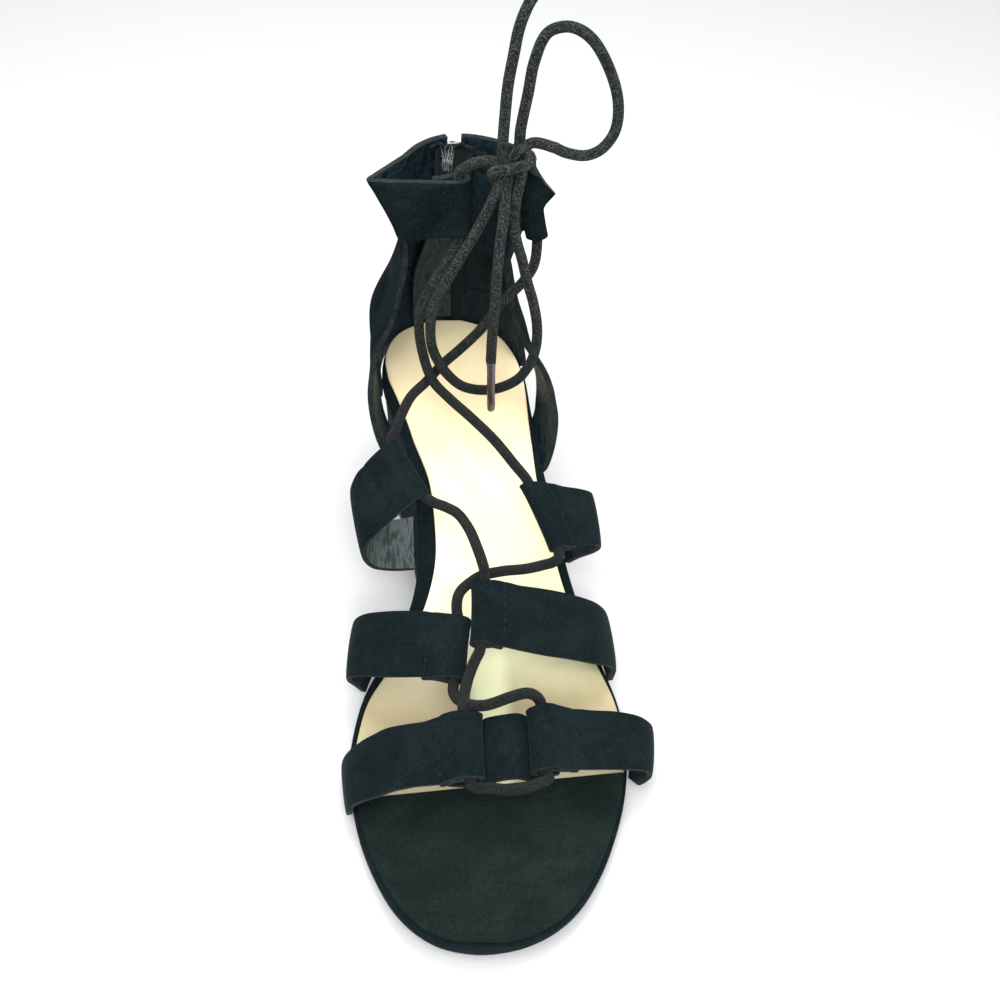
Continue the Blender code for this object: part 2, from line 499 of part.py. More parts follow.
def build_rear_upper(material, collection):
    """Counter, collar and the quarter straps of both sides as one wall, with the slot of the zip."""
    shares = [0, 0.25, 0.5, 0.75, 1]
    counter_t = [-1, -0.875, -0.75, -0.625, -0.5, -0.375, -0.25, -0.14]
    counter_levels = [0, 0.5, 1, 1.33, 1.67, 2, 2.33, 2.67]
    zip_level = 5
    bm = bmesh.new()

    def column(points):
        return [bm.verts.new(place(*point)) for point in points]

    def fill(left, right):
        for i in range(len(left) - 1):
            bm.faces.new((left[i], right[i], right[i + 1], left[i + 1]))

    def counter_column(t, zip_side=0):
        return column([counter_point(t, level, zip_side) for level in counter_levels + [3 + s for s in shares]])

    low = len(counter_levels)
    inner = [counter_column(t) for t in counter_t] + [counter_column(-1e-6, -1)]
    outer = [counter_column(1e-6, 1)] + [counter_column(-t) for t in reversed(counter_t)]
    for columns in (inner, outer):
        for left, right in zip(columns, columns[1:]):
            fill(left, right)
    fill(inner[-1][:zip_level + 1], outer[0][:zip_level + 1])
    for table, root, quarter, side, joined in ((COLLAR_INNER, inner[0], QUARTER_INNER, 1, 3),
                                               (COLLAR_OUTER, outer[-1], QUARTER_OUTER, -1, 1)):
        steps = [i / 2 for i in range(2 * table[-1][0] + 1)]
        up = Vector((0, 0, side))
        lanes = [hem([collar_point(table, step, share) for step in steps], up, REAR) for share in shares]
        columns = [root[low:]]
        columns += [column([lane[i] for lane in lanes]) for i in range(1, len(lanes[0]))]
        for left, right in zip(columns, columns[1:]):
            fill(left, right)
        spread = 6
        rows = [[columns[i][0] for i in range(spread + 1)]]
        for k, row in enumerate(quarter):
            front, back = Vector(row[:3]), Vector(row[3:])
            points = [back.lerp(front, i / spread) for i in range(spread + 1)]
            rows.append([root[low - 1 - k]] + column(points[1:]) if k < joined else column(points))
        for upper, lower in zip(rows, rows[1:]):
            fill(upper, lower)
    return solidify(finish("rear_upper", bm, material, collection), REAR)


def box(name, low, high, material, collection):
    """A plain box between two corners."""
    (ax, ay, az), (bx, by, bz) = low, high
    rings = [[(ax, y, az), (bx, y, az), (bx, y, bz), (ax, y, bz)] for y in (ay, by)]
    return loft(name, rings, material, collection)


def pin(name, middle, radius, half, material, collection, count=16):
    """A round pin along X."""
    x, y, z = middle
    around = [(math.cos(2 * math.pi * i / count), math.sin(2 * math.pi * i / count)) for i in range(count)]
    rings = [[(px, y + radius * c, z + radius * s) for c, s in around] for px in (x - half, x + half)]
    return loft(name, rings, material, collection)


def build_zip(tape, metal, collection, helpers):
    """Tape, teeth, slider and pull tab of the zip at the back."""
    rings = []
    for i in range(15):
        level = 1.08 + 2.92 * i / 14
        x, y, z = counter_point(0, level)
        y -= REAR / 2 + GAP + 0.2
        z += 3.0 * max(level - 3, 0)
        side = min(2.6, 0.9 + 0.8 * (level - 1))
        rings.append([(x - 6.8, y - side, z), (x, y, z), (x + 6.8, y - side, z),
                      (x + 6.8, y - side - 0.8, z), (x, y - 0.8, z), (x - 6.8, y - side - 0.8, z)])
    loft("zip_tape", rings, tape, collection)
    rings = []
    count = 24
    for i in range(2 * count + 1):
        x, y, z = counter_point(0, 2.06 + 1.74 * i / (2 * count))
        half, bulge = (2.1, 0.7) if i % 2 else (1.7, 0.35)
        rings.append([(x - half, y - 0.8, z), (x + half, y - 0.8, z), (x + half, y + bulge, z),
                      (x - half, y + bulge, z)])
    loft("zip_teeth", rings, metal, collection)

    x, y, z = counter_point(0, 3.66)
    outside, pivot = y + 1.3, (x, PULL_Y, z + 0.5)
    plate = [(x - 3.0, z - 4.5), (x + 3.0, z - 4.5), (x + 3.8, z + 3.5), (x + 2.0, z + 4.5),
             (x - 2.0, z + 4.5), (x - 3.8, z + 3.5)]
    slider = loft("zip_slider", [[(px, outside + out, pz) for px, pz in plate] for out in (0, 2.0)],
                  metal, collection)
    lug = box("zip_slider_lug", (x - 1.0, outside + 1.0, pivot[2] - 2.0),
              (x + 1.0, PULL_Y + 1.9, pivot[2] + 2.0), metal, helpers)
    join(slider, lug)
    join(slider, pin("zip_slider_hole", pivot, 1.2, 2.0, metal, helpers), 'DIFFERENCE')
    pull = pin("zip_pull", pivot, 0.8, 2.7, metal, collection)
    for side in (-1, 1):
        x_low, x_high = sorted((x + side * 1.4, x + side * 2.65))
        join(pull, box("zip_pull_cheek", (x_low, PULL_Y - 0.62, pivot[2] - 4.0),
                       (x_high, PULL_Y + 0.62, pivot[2] + 0.2), metal, helpers))
    join(pull, box("zip_pull_plate", (x - 3.1, PULL_Y - 0.6, pivot[2] - PULL),
                   (x + 3.1, PULL_Y + 0.6, pivot[2] - 3.3), metal, helpers))


def main():
    """Build the sandal."""
    for old in list(bpy.data.objects):
        bpy.data.objects.remove(old)
    shoe = new_collection("wedge_sandal")
    helpers = new_collection("helpers")
    suede = make_material("black_suede", (0.012, 0.016, 0.015), 0.95)
    rubber = make_material("black_rubber", (0.018, 0.018, 0.019), 0.6)
    sock = make_material("tan_sock", (0.78, 0.60, 0.36), 0.45)
    lace = make_material("charcoal_lace", (0.03, 0.034, 0.034), 0.85)
    tape = make_material("zip_tape", (0.02, 0.02, 0.022), 0.8)
    metal = make_material("dark_metal", (0.05, 0.05, 0.055), 0.3, 1.0)
    tip = make_material("aglet_plastic", (0.06, 0.04, 0.03), 0.25)

    build_outsole(rubber, shoe)
    build_wedge(suede, shoe)
    build_board(suede, shoe)
    build_footbed_covers(sock, suede, shoe)
    build_front_strap(suede, shoe, helpers)
    tab("second_strap_inner", SECOND_INNER, 1, suede, shoe)
    tab("second_strap_outer", SECOND_OUTER, -1, suede, shoe)
    tab("third_strap_inner", THIRD_INNER, 1, suede, shoe)
    tab("third_strap_outer", THIRD_OUTER, -1, suede, shoe)
    build_rear_upper(suede, shoe)
    build_zip(tape, metal, shoe, helpers)

    cord("lace_toe_bar", LACE_BAR, LACE, lace, shoe)
    for i, (first, second) in enumerate((CROSSING_1, CROSSING_2, CROSSING_3), 1):
        crossing = as_mesh(cord("lace_crossing_%d" % i, first, LACE, lace, shoe), shoe)
        join(crossing, as_mesh(cord("lace_crossing_%d_second" % i, second, LACE, lace, helpers), helpers))
    bm = bmesh.new()
    bmesh.ops.create_icosphere(bm, subdivisions=2, radius=1)
    for vert in bm.verts:
        vert.co = place(*(centre + radius * c for centre, radius, c in zip(KNOT, KNOT_RADII, vert.co)))
    finish("lace_knot", bm, lace, shoe)
    for name, route in (("lace_tie_inner", TIE_INNER), ("lace_tie_outer", TIE_OUTER), ("lace_loop_low", LOOP_LOW),
                        ("lace_loop_high", LOOP_HIGH), ("lace_tail_low", TAIL_LOW), ("lace_tail_high", TAIL_HIGH)):
        cord(name, route, LACE, lace, shoe)
    cord("aglet_low", AGLET_LOW, AGLET, tip, shoe, 9)
    cord("aglet_high", AGLET_HIGH, AGLET, tip, shoe, 9)


main()
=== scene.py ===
"""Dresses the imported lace-up wedge sandal: sole, straps, rear upper, zip, lace and a plain studio.

The tables are in millimetres in the shoemaker's frame: x runs across the left foot with its outer side
positive, y from the toe to the heel and z up from the floor. place() turns them into the part's metres.
"""
from __future__ import annotations

import logging
import math
import sys
from dataclasses import dataclass
from enum import Enum
from typing import Callable, Optional, Sequence, Union

import bpy
import numpy as np
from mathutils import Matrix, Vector

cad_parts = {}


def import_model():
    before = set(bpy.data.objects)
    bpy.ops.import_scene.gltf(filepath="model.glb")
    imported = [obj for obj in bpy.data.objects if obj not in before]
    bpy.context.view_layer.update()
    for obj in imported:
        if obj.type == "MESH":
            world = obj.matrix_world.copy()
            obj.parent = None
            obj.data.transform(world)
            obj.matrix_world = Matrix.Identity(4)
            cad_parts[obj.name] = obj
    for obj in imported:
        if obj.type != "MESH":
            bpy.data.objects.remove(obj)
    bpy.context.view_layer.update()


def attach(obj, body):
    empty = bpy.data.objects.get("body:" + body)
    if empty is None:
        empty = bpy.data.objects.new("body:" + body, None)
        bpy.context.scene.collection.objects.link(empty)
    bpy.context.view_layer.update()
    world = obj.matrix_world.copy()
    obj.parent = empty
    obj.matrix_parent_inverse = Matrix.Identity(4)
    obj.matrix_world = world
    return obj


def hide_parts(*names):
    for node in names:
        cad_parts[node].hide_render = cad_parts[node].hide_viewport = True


log = logging.getLogger("sandal")
Row = Sequence[float]
Object = bpy.types.Object

CENTRE_X, CENTRE_Y = 8.2, 122.87
SHOE, PULL_TAB = "shoe", "pull_tab"
SEAM_MERGE, SHEET_MERGE = 0.000002, 0.00001  # metres between points that are one


def place(points: np.ndarray) -> np.ndarray:
    """Points of the tables, in millimetres, as metres in the part's frame."""
    return (np.asarray(points, float) - (CENTRE_X, CENTRE_Y, 0.0)) / 1000.0


def smooth_row(table: Sequence[Row], key: float) -> np.ndarray:
    """The table's values at key, on a curve that runs smoothly through its rows.

    Args:
        table: Rows that start with their key, in rising order.
        key: Where to read; held to the table's own range.

    Returns:
        The row's values without the key.
    """
    last = len(table) - 1
    key = min(max(key, table[0][0]), table[last][0])
    i = next(k for k in range(last) if key <= table[k + 1][0])
    before, start, end, after = (np.asarray(table[min(max(k, 0), last)], float)
                                 for k in (i - 1, i, i + 1, i + 2))
    span = end[0] - start[0]
    u = (key - start[0]) / span
    slope_start = (end[1:] - before[1:]) / (end[0] - before[0]) * span
    slope_end = (after[1:] - start[1:]) / (after[0] - start[0]) * span
    return (start[1:] * (2 * u**3 - 3 * u**2 + 1) + slope_start * (u**3 - 2 * u**2 + u)
            + end[1:] * (3 * u**2 - 2 * u**3) + slope_end * (u**3 - u**2))


def unit(vectors: np.ndarray) -> np.ndarray:
    """The vectors at length one."""
    return vectors / np.maximum(np.linalg.norm(vectors, axis=-1, keepdims=True), 1e-9)


def smooth_step(value: Union[float, np.ndarray], low: float, high: float) -> Union[float, np.ndarray]:
    """0 below low, 1 above high and a smooth rise between them."""
    u = np.clip((value - low) / (high - low), 0.0, 1.0)
    return u * u * (3 - 2 * u)


def bell(value: Union[float, np.ndarray], middle: float, width: float) -> Union[float, np.ndarray]:
    """A soft bump of height 1 at middle."""
    return np.exp(-(((value - middle) / width) ** 2))


def walked(line: np.ndarray) -> np.ndarray:
    """The distance walked along a line at each of its points."""
    return np.concatenate([[0.0], np.cumsum(np.linalg.norm(np.diff(line, axis=0), axis=1))])


def length_of(line: np.ndarray) -> float:
    """A line's whole length."""
    return float(np.linalg.norm(np.diff(line, axis=0), axis=1).sum())


def along(line: np.ndarray, steps: np.ndarray, distance: Union[float, np.ndarray]) -> np.ndarray:
    """Where a distance along a line lies, given the steps at which its points lie."""
    return np.array([np.interp(distance, steps, line[:, i]) for i in range(3)])


def smooth_route(route: Sequence[Row], spacing: float) -> np.ndarray:
    """Evenly spaced points on a smooth curve through a route."""
    route = np.asarray(route, float)
    steps = walked(route)
    table = [(s, *point) for s, point in zip(steps, route)]
    fine = np.array([smooth_row(table, s)
                     for s in np.linspace(0, steps[-1], max(60, int(steps[-1] * 4)))])
    distances = walked(fine)
    count = max(4, round(distances[-1] / spacing))
    return along(fine, distances, np.linspace(0, distances[-1], count + 1)).T


FOLD_ANGLES = np.radians(np.arange(12, 181, 12))
FLAP_START, FLAP_ROWS, FLAP_EASE, SEWN_SLACK = 1.2, 9, -1.5, 0.05  # millimetres, but for the count


def fold_back(lane: np.ndarray, ahead: np.ndarray, across: np.ndarray, radius: float, close: float,
              reach: float, over: float) -> np.ndarray:
    """The end of a lane that turns round the lace and returns under the lane as a flap.

    Args:
        lane: The lane's points up to its fold.
        ahead: The lane's direction at its fold.
        across: The band's direction across its lanes.
        radius: The fold's radius, to the middle of the wall.
        close: Distance from lane to flap where the two are sewn.
        reach: Distance from the fold at which the flap has closed in.
        over: How far the flap runs on past it.

    Returns:
        The points of the turn and then of the flap.
    """
    inward = unit(np.cross(across, ahead))
    middle = lane[-1] + inward * radius
    points = [middle + (ahead * math.sin(a) - inward * math.cos(a)) * radius for a in FOLD_ANGLES]
    home = lane[::-1]
    steps = walked(home)
    for back in np.linspace(FLAP_START, reach + over, FLAP_ROWS):
        here, near = (along(home, steps, s) for s in (back, back + 0.8))
        depth = 2 * radius + (close - 2 * radius) * smooth_step(back, FLAP_EASE, reach)
        points.append(here + unit(np.cross(across, unit(here - near))) * depth)
    return np.array(points)


# ---------------- shader sums


def sums(operation: str, swapped: bool = False) -> Callable[["Value", "Number"], "Value"]:
    """An operator of Value that adds one Math node; swapped puts the value second."""
    def operate(value: "Value", other: "Number") -> "Value":
        """Do the sum."""
        return value.graph.maths(operation, *((other, value) if swapped else (value, other)))
    return operate


class Value:
    """A shader socket that Python's operators do sums with."""

    def __init__(self, graph: "Graph", socket: bpy.types.NodeSocket) -> None:
        """Hold the socket and the graph that it belongs to."""
        self.graph, self.socket = graph, socket

    __add__ = __radd__ = sums('ADD')
    __mul__ = __rmul__ = sums('MULTIPLY')
    __sub__, __rsub__ = sums('SUBTRACT'), sums('SUBTRACT', swapped=True)

    def __abs__(self) -> "Value":
        """Size without the sign."""
        return self.graph.maths('ABSOLUTE', self)

    def step(self, low: float, high: float) -> "Value":
        """0 below low, 1 above high and a smooth rise between them."""
        return self.graph.node("ShaderNodeMapRange", {"interpolation_type": 'SMOOTHSTEP'},
                               {"Value": self, "From Min": low, "From Max": high})


Number = Union[float, Value]


class Graph:
    """A material's nodes, made from values."""

    def __init__(self, name: str) -> None:
        """Start a material of that name with its Principled shader."""
        self.material = bpy.data.materials.new(name)
        self.material.use_nodes = True
        self.tree = self.material.node_tree
        self.shader = self.tree.nodes["Principled BSDF"]

    def node(self, kind: str, settings: Optional[dict] = None, inputs: Optional[dict] = None,
             output: Union[int, str] = 0) -> Value:
        """Any node.

        Args:
            kind: The node's type.
            settings: Its properties, set first.
            inputs: Values or links by socket name or number.
            output: The socket to hand back.

        Returns:
            The output as a value for more sums.
        """
        made = self.tree.nodes.new(kind)
        for key, value in (settings or {}).items():
            setattr(made, key, value)
        for key, value in (inputs or {}).items():
            self.feed(made.inputs[key], value)
        return Value(self, made.outputs[output])

    def feed(self, socket: bpy.types.NodeSocket, value: object) -> None:
        """Link a value to a socket, or set the socket to a plain number or colour."""
        if isinstance(value, Value):
            self.tree.links.new(value.socket, socket)
        else:
            bare = socket.type == 'RGBA' and isinstance(value, tuple) and len(value) == 3
            socket.default_value = (*value, 1.0) if bare else value

    def maths(self, operation: str, *terms: Number) -> Value:
        """One Math node."""
        return self.node("ShaderNodeMath", {"operation": operation}, dict(enumerate(terms)))

    def noise(self, cell: float, detail: float = 3.0, stretch: Row = (1, 1, 1), roughness: float = 0.55,
              twist: float = 0.0) -> Value:
        """Noise from 0 to 1.

        Args:
            cell: Size of its main blobs in millimetres.
            detail: Octaves of finer noise.
            stretch: Scale of each axis; a smaller number draws the blobs out along it.
            roughness: Strength of the finer octaves.
            twist: How much the blobs are distorted.

        Returns:
            The noise factor.
        """
        return self.node("ShaderNodeTexNoise", None, {
            "Vector": self.position(stretch), "Scale": 1000.0 / cell, "Detail": detail,
            "Roughness": roughness, "Distortion": twist})

    def cells(self, cell: float) -> Value:
        """Distance within a field of cells of that size in millimetres."""
        return self.node("ShaderNodeTexVoronoi", None, {"Vector": self.position(), "Scale": 1000.0 / cell})

    def position(self, stretch: Row = (1, 1, 1)) -> Value:
        """Object coordinates, scaled."""
        where = self.node("ShaderNodeTexCoord", output="Object")
        if tuple(stretch) == (1, 1, 1):
            return where
        return self.node("ShaderNodeMapping", None, {"Vector": where, "Scale": tuple(stretch)})

    def axes(self, vector: Value) -> list[Value]:
        """The three parts of a vector."""
        split = self.tree.nodes.new("ShaderNodeSeparateXYZ")
        self.feed(split.inputs[0], vector)
        return [Value(self, socket) for socket in split.outputs]

    def blend(self, factor: Number, first: object, second: object) -> Value:
        """Mix two colours."""
        mix = self.tree.nodes.new("ShaderNodeMix")
        mix.data_type = 'RGBA'
        for index, value in ((0, factor), (6, first), (7, second)):
            self.feed(mix.inputs[index], value)
        return Value(self, mix.outputs[2])

    def bump(self, height: Value, depth: float, strength: float = 1.0) -> Value:
        """A normal from a height of 0 to 1 that is depth millimetres deep."""
        return self.node("ShaderNodeBump", None, {
            "Height": height, "Distance": depth / 1000.0, "Strength": strength})

    def dress(self, **sockets: object) -> bpy.types.Material:
        """Feed the shader's sockets, named with underscores for spaces, and hand back the material."""
        for name, value in sockets.items():
            self.feed(self.shader.inputs[name.replace("_", " ")], value)
        return self.material


# ---------------- finishes

Colour = tuple[float, float, float]


@dataclass(frozen=True)
class Suede:
    """Brushed suede with a short nap, cloudy where fingers have turned it."""

    name: str
    dark: Colour = (0.0022, 0.0048, 0.0058)
    light: Colour = (0.0082, 0.0138, 0.0155)
    nap: float = 0.9
    clouds: float = 14.0
    clouding: float = 0.55
    sheen: float = 0.045

    def material(self) -> bpy.types.Material:
        """Build the material."""
        g = Graph(self.name)
        fine = g.noise(self.nap, 4.0, roughness=0.75)
        fibre = g.noise(self.nap * 0.45, 2.0, (1.0, 0.55, 1.0))
        cloud = g.noise(self.clouds, 3.0, twist=0.8)
        scuff = g.noise(self.clouds * 0.28, 2.0, (0.6, 1.0, 1.0)).step(0.5, 0.8)
        shade = (cloud - 0.5) * self.clouding * 1.6 + (fine - 0.5) * 1.5 + scuff * 0.14 + 0.36
        colour = g.blend(shade.step(0.0, 1.0), self.dark, self.light)
        height = fine * 0.65 + fibre * 0.35 + scuff * 0.2
        return g.dress(Base_Color=colour, Roughness=0.93, Normal=g.bump(height, 0.28, 0.9),
                       Sheen_Weight=self.sheen, Sheen_Roughness=0.45, Sheen_Tint=(0.45, 0.62, 0.68),
                       Specular_IOR_Level=self.sheen * 0.9)


@dataclass(frozen=True)
class Lining:
    """Smooth black lining that creases where a strap bends, with painted highlights on its crease ridges."""

    name: str = "black_lining"
    base: Colour = (0.0016, 0.0062, 0.0088)
    # worn is the paler colour: painted highlight on the crease ridges, and random paler clouds.
    worn: Colour = (0.0060, 0.0175, 0.0235)
    stretch: Row = (1.0, 0.45, 1.0)
    cell: float = 3.2
    gloss: float = 0.15

    def material(self) -> bpy.types.Material:
        """Build the material."""
        g = Graph(self.name)
        crease = g.noise(self.cell, 3.0, self.stretch, twist=0.5)
        ridge = (1.0 - abs(crease - 0.5) * 6.0).step(0.0, 1.0)
        grain = g.cells(0.55)
        # Painted highlight: crease ridges take the paler colour; the slow noise adds random paler clouds.
        colour = g.blend((ridge * 0.5 + g.noise(9.0) * 0.5).step(0.2, 0.9), self.base, self.worn)
        return g.dress(Base_Color=colour, Roughness=g.noise(2.0) * 0.2 + 0.36 + ridge * 0.1,
                       Normal=g.bump(ridge * 0.6 + grain * 0.12 + g.noise(7.0, 2.0) * 0.7, 0.45),
                       Specular_IOR_Level=self.gloss)


@dataclass(frozen=True)
class CutEdge:
    """The sanded edge of suede and lining together, paler than the nap."""

    name: str = "cut_edge"
    base: Colour = (0.0045, 0.0078, 0.0082)
    frayed: Colour = (0.018, 0.025, 0.025)

    def material(self) -> bpy.types.Material:
        """Build the material."""
        g = Graph(self.name)
        fray = (g.noise(0.8, 4.0, roughness=0.8) * 0.7 + g.noise(3.5) * 0.5).step(0.48, 0.82)
        return g.dress(Base_Color=g.blend(fray, self.base, self.frayed), Roughness=0.9,
                       Normal=g.bump(g.noise(0.5, 3.0), 0.3), Sheen_Weight=0.04, Sheen_Roughness=0.5,
                       Specular_IOR_Level=0.1)


@dataclass(frozen=True)
class SockLeather:
    """Pale tan lining leather, lightly polished, with a fine grain, soft cloudy toning and a painted glare
    down the middle of the forefoot.
    """

    name: str = "tan_sock_leather"
    pale: Colour = (0.68, 0.70, 0.43)
    deep: Colour = (0.31, 0.245, 0.138)
    warm: Colour = (0.80, 0.68, 0.42)

    def material(self) -> bpy.types.Material:
        """Build the material."""
        g = Graph(self.name)
        x, y, _ = g.axes(g.position())
        cloud = (g.noise(38.0, 2.0) * 0.6 + g.noise(7.0, 3.0) * 0.25 + g.noise(1.2) * 0.15).step(0.36, 0.68)
        # Painted glare: the forefoot takes the deep tan at its sides, while a narrow strip down its middle
        # stays pale as a painted highlight.
        painted_shading = (1.0 - (y + cloud * 0.008).step(-0.030, 0.004)) * abs(x + 0.001).step(0.003, 0.009)
        heel = (y + cloud * 0.02).step(0.040, 0.088)
        tone = g.blend((heel * 0.85 + cloud * 0.2).step(0.0, 1.0), self.pale, self.warm)
        grain = g.cells(0.42)
        pore = g.noise(0.6, 3.0)
        scratch = g.noise(5.0, 2.0, (1.0, 0.12, 1.0)).step(0.58, 0.75)
        return g.dress(Base_Color=g.blend(painted_shading * 0.85 + cloud * 0.08, tone, self.deep),
                       Roughness=g.noise(4.0, 3.0) * 0.14 + 0.34 + scratch * 0.06,
                       Normal=g.bump(grain * 0.5 + pore * 0.3 + g.noise(22.0, 1.0) * 2.2, 0.07),
                       Specular_IOR_Level=0.5)


@dataclass(frozen=True)
class Braid:
    """A round braid of dark and pale yarns; it follows the cord's own map, whose u is in plait lengths.

    Lower down it is painted darker, fading out between two heights in metres: painted shade on the lower
    lace.
    """

    name: str = "charcoal_braid"
    dark: Colour = (0.0040, 0.0062, 0.0058)
    middle: Colour = (0.0185, 0.0235, 0.0220)
    pale: Colour = (0.066, 0.080, 0.075)
    strands: int = 14
    # Heights in metres between which the painted shade on the lower lace fades out.
    painted_shading: tuple[float, float] = (0.055, 0.125)

    def material(self) -> bpy.types.Material:
        """Build the material."""
        g = Graph(self.name)
        length, around, _ = g.axes(g.node("ShaderNodeTexCoord", output="UV"))
        left, right = (around + length) * self.strands, (around - length) * self.strands
        cell = [g.maths('FLOOR', side) for side in (left, right)]
        part = [g.maths('FRACT', side) for side in (left, right)]
        over = g.maths('MODULO', cell[0] + cell[1] + 4000.0, 2.0)
        plait = [g.maths('SINE', side * math.pi) for side in part]
        height = plait[0] * plait[1]
        ridge = over * plait[0] + (1.0 - over) * plait[1]
        speck = g.node("ShaderNodeTexWhiteNoise", {"noise_dimensions": '3D'}, {
            "Vector": g.node("ShaderNodeCombineXYZ", None, {0: cell[0], 1: cell[1], 2: 3.0})})
        yarn = g.node("ShaderNodeTexNoise", None, {
            "Vector": g.node("ShaderNodeCombineXYZ", None, {0: length * 46.0, 1: around * 40.0, 2: 0.0}),
            "Scale": 1.0, "Detail": 2.0})
        body = g.blend((speck * 0.75 + yarn * 0.5).step(0.30, 0.75), self.dark, self.middle)
        fleck = (speck + (yarn - 0.5) * 0.7).step(0.52, 0.92) * ridge
        # Painted shade: below the height band the lace is drawn toward the dark yarn colour.
        above = g.axes(g.position())[2].step(*self.painted_shading)
        colour = g.blend((1.0 - above) * 0.82, g.blend(fleck, body, self.pale), self.dark)
        # Painted shade in the plait's hollows: the low parts of the weave are drawn toward the dark yarn
        # colour.
        colour = g.blend((1.0 - height.step(0.0, 0.35)) * 0.75, colour, self.dark)
        return g.dress(Base_Color=colour, Roughness=0.78,
                       Normal=g.bump(height * 0.6 + ridge * 0.3 + yarn * 0.2, 0.38),
                       Sheen_Weight=0.035, Sheen_Roughness=0.5, Specular_IOR_Level=0.1)


@dataclass(frozen=True)
class Thread:
    """Waxed sewing thread, twisted."""

    name: str = "sewing_thread"
    base: Colour = (0.0040, 0.0082, 0.0092)
    pale: Colour = (0.0095, 0.0160, 0.0170)

    def material(self) -> bpy.types.Material:
        """Build the material."""
        g = Graph(self.name)
        twist = g.noise(0.35, 2.0)
        return g.dress(Base_Color=g.blend(g.noise(2.4).step(0.4, 0.7), self.base, self.pale), Roughness=0.8,
                       Normal=g.bump(twist, 0.15), Specular_IOR_Level=0.1)


@dataclass(frozen=True)
class Rubber:
    """Moulded outsole rubber with a fine pebble."""

    name: str = "outsole_rubber"
    base: Colour = (0.012, 0.013, 0.013)
    dusty: Colour = (0.035, 0.036, 0.036)

    def material(self) -> bpy.types.Material:
        """Build the material."""
        g = Graph(self.name)
        pebble = g.cells(1.1)
        x, y, z = g.axes(g.position())
        groove = abs(g.maths('SINE', (y + x * 0.35) * 1400.0))
        tread = (1.0 - z * 2500.0).step(0.0, 0.6) * groove.step(0.25, 0.6)
        dust = (g.noise(11.0, 3.0) * 0.8 + g.noise(0.9) * 0.4).step(0.5, 0.9)
        return g.dress(Base_Color=g.blend(dust, self.base, self.dusty), Roughness=g.noise(6.0) * 0.2 + 0.52,
                       Normal=g.bump(pebble * 0.3 + tread, 0.35))


@dataclass(frozen=True)
class Metal:
    """Dark plated zip metal, worn brighter on its high spots."""

    name: str = "gunmetal"
    base: Colour = (0.10, 0.10, 0.11)
    worn: Colour = (0.34, 0.34, 0.35)

    def material(self) -> bpy.types.Material:
        """Build the material."""
        g = Graph(self.name)
        wear = (g.noise(1.6, 4.0) * 0.7 + g.noise(0.3) * 0.4).step(0.5, 0.75)
        return g.dress(Base_Color=g.blend(wear, self.base, self.worn), Metallic=1.0,
                       Roughness=g.noise(0.7, 3.0) * 0.2 + 0.22, Normal=g.bump(g.noise(0.4, 2.0), 0.03))


@dataclass(frozen=True)
class TipPlastic:
    """The hard glossy sleeve on a lace's end, dark brown, crimped tight over the braid."""

    name: str = "aglet_plastic"
    base: Colour = (0.030, 0.018, 0.014)
    glint: Colour = (0.13, 0.085, 0.07)

    def material(self) -> bpy.types.Material:
        """Build the material."""
        g = Graph(self.name)
        streak = g.noise(0.9, 2.0, (1.0, 1.0, 0.12)).step(0.5, 0.75)
        return g.dress(Base_Color=g.blend(streak, self.base, self.glint),
                       Roughness=g.noise(1.5) * 0.1 + 0.14, Normal=g.bump(streak, 0.06),
                       Specular_IOR_Level=0.65, Coat_Weight=0.6, Coat_Roughness=0.08)


@dataclass(frozen=True)
class WovenTape:
    """The zip's herringbone tape, which shows inside the heel."""

    name: str = "zip_tape_weave"
    base: Colour = (0.0016, 0.0040, 0.0046)
    thread: Colour = (0.0070, 0.0120, 0.0132)

    def material(self) -> bpy.types.Material:
        """Build the material."""
        g = Graph(self.name)
        x, _, z = g.axes(g.position())
        bend = g.maths('PINGPONG', x * 1000.0, 1.2)
        rib = abs(g.maths('SINE', (z * 1000.0 + bend) * 4.2))
        weft = abs(g.maths('SINE', x * 5200.0))
        lit = (rib * 0.6 + weft * 0.25 + g.noise(1.3, 3.0) * 0.5).step(0.45, 1.05)
        return g.dress(Base_Color=g.blend(lit, self.base, self.thread), Roughness=0.85,
                       Normal=g.bump(rib * 0.7 + weft * 0.3, 0.2), Sheen_Weight=0.05, Sheen_Roughness=0.5,
                       Specular_IOR_Level=0.15)


# ---------------- modelling by operators


class Layer(Enum):
    """The finish that a face takes on a walled piece."""

    OUTSIDE = 0
    LINING = 1
    EDGE = 2


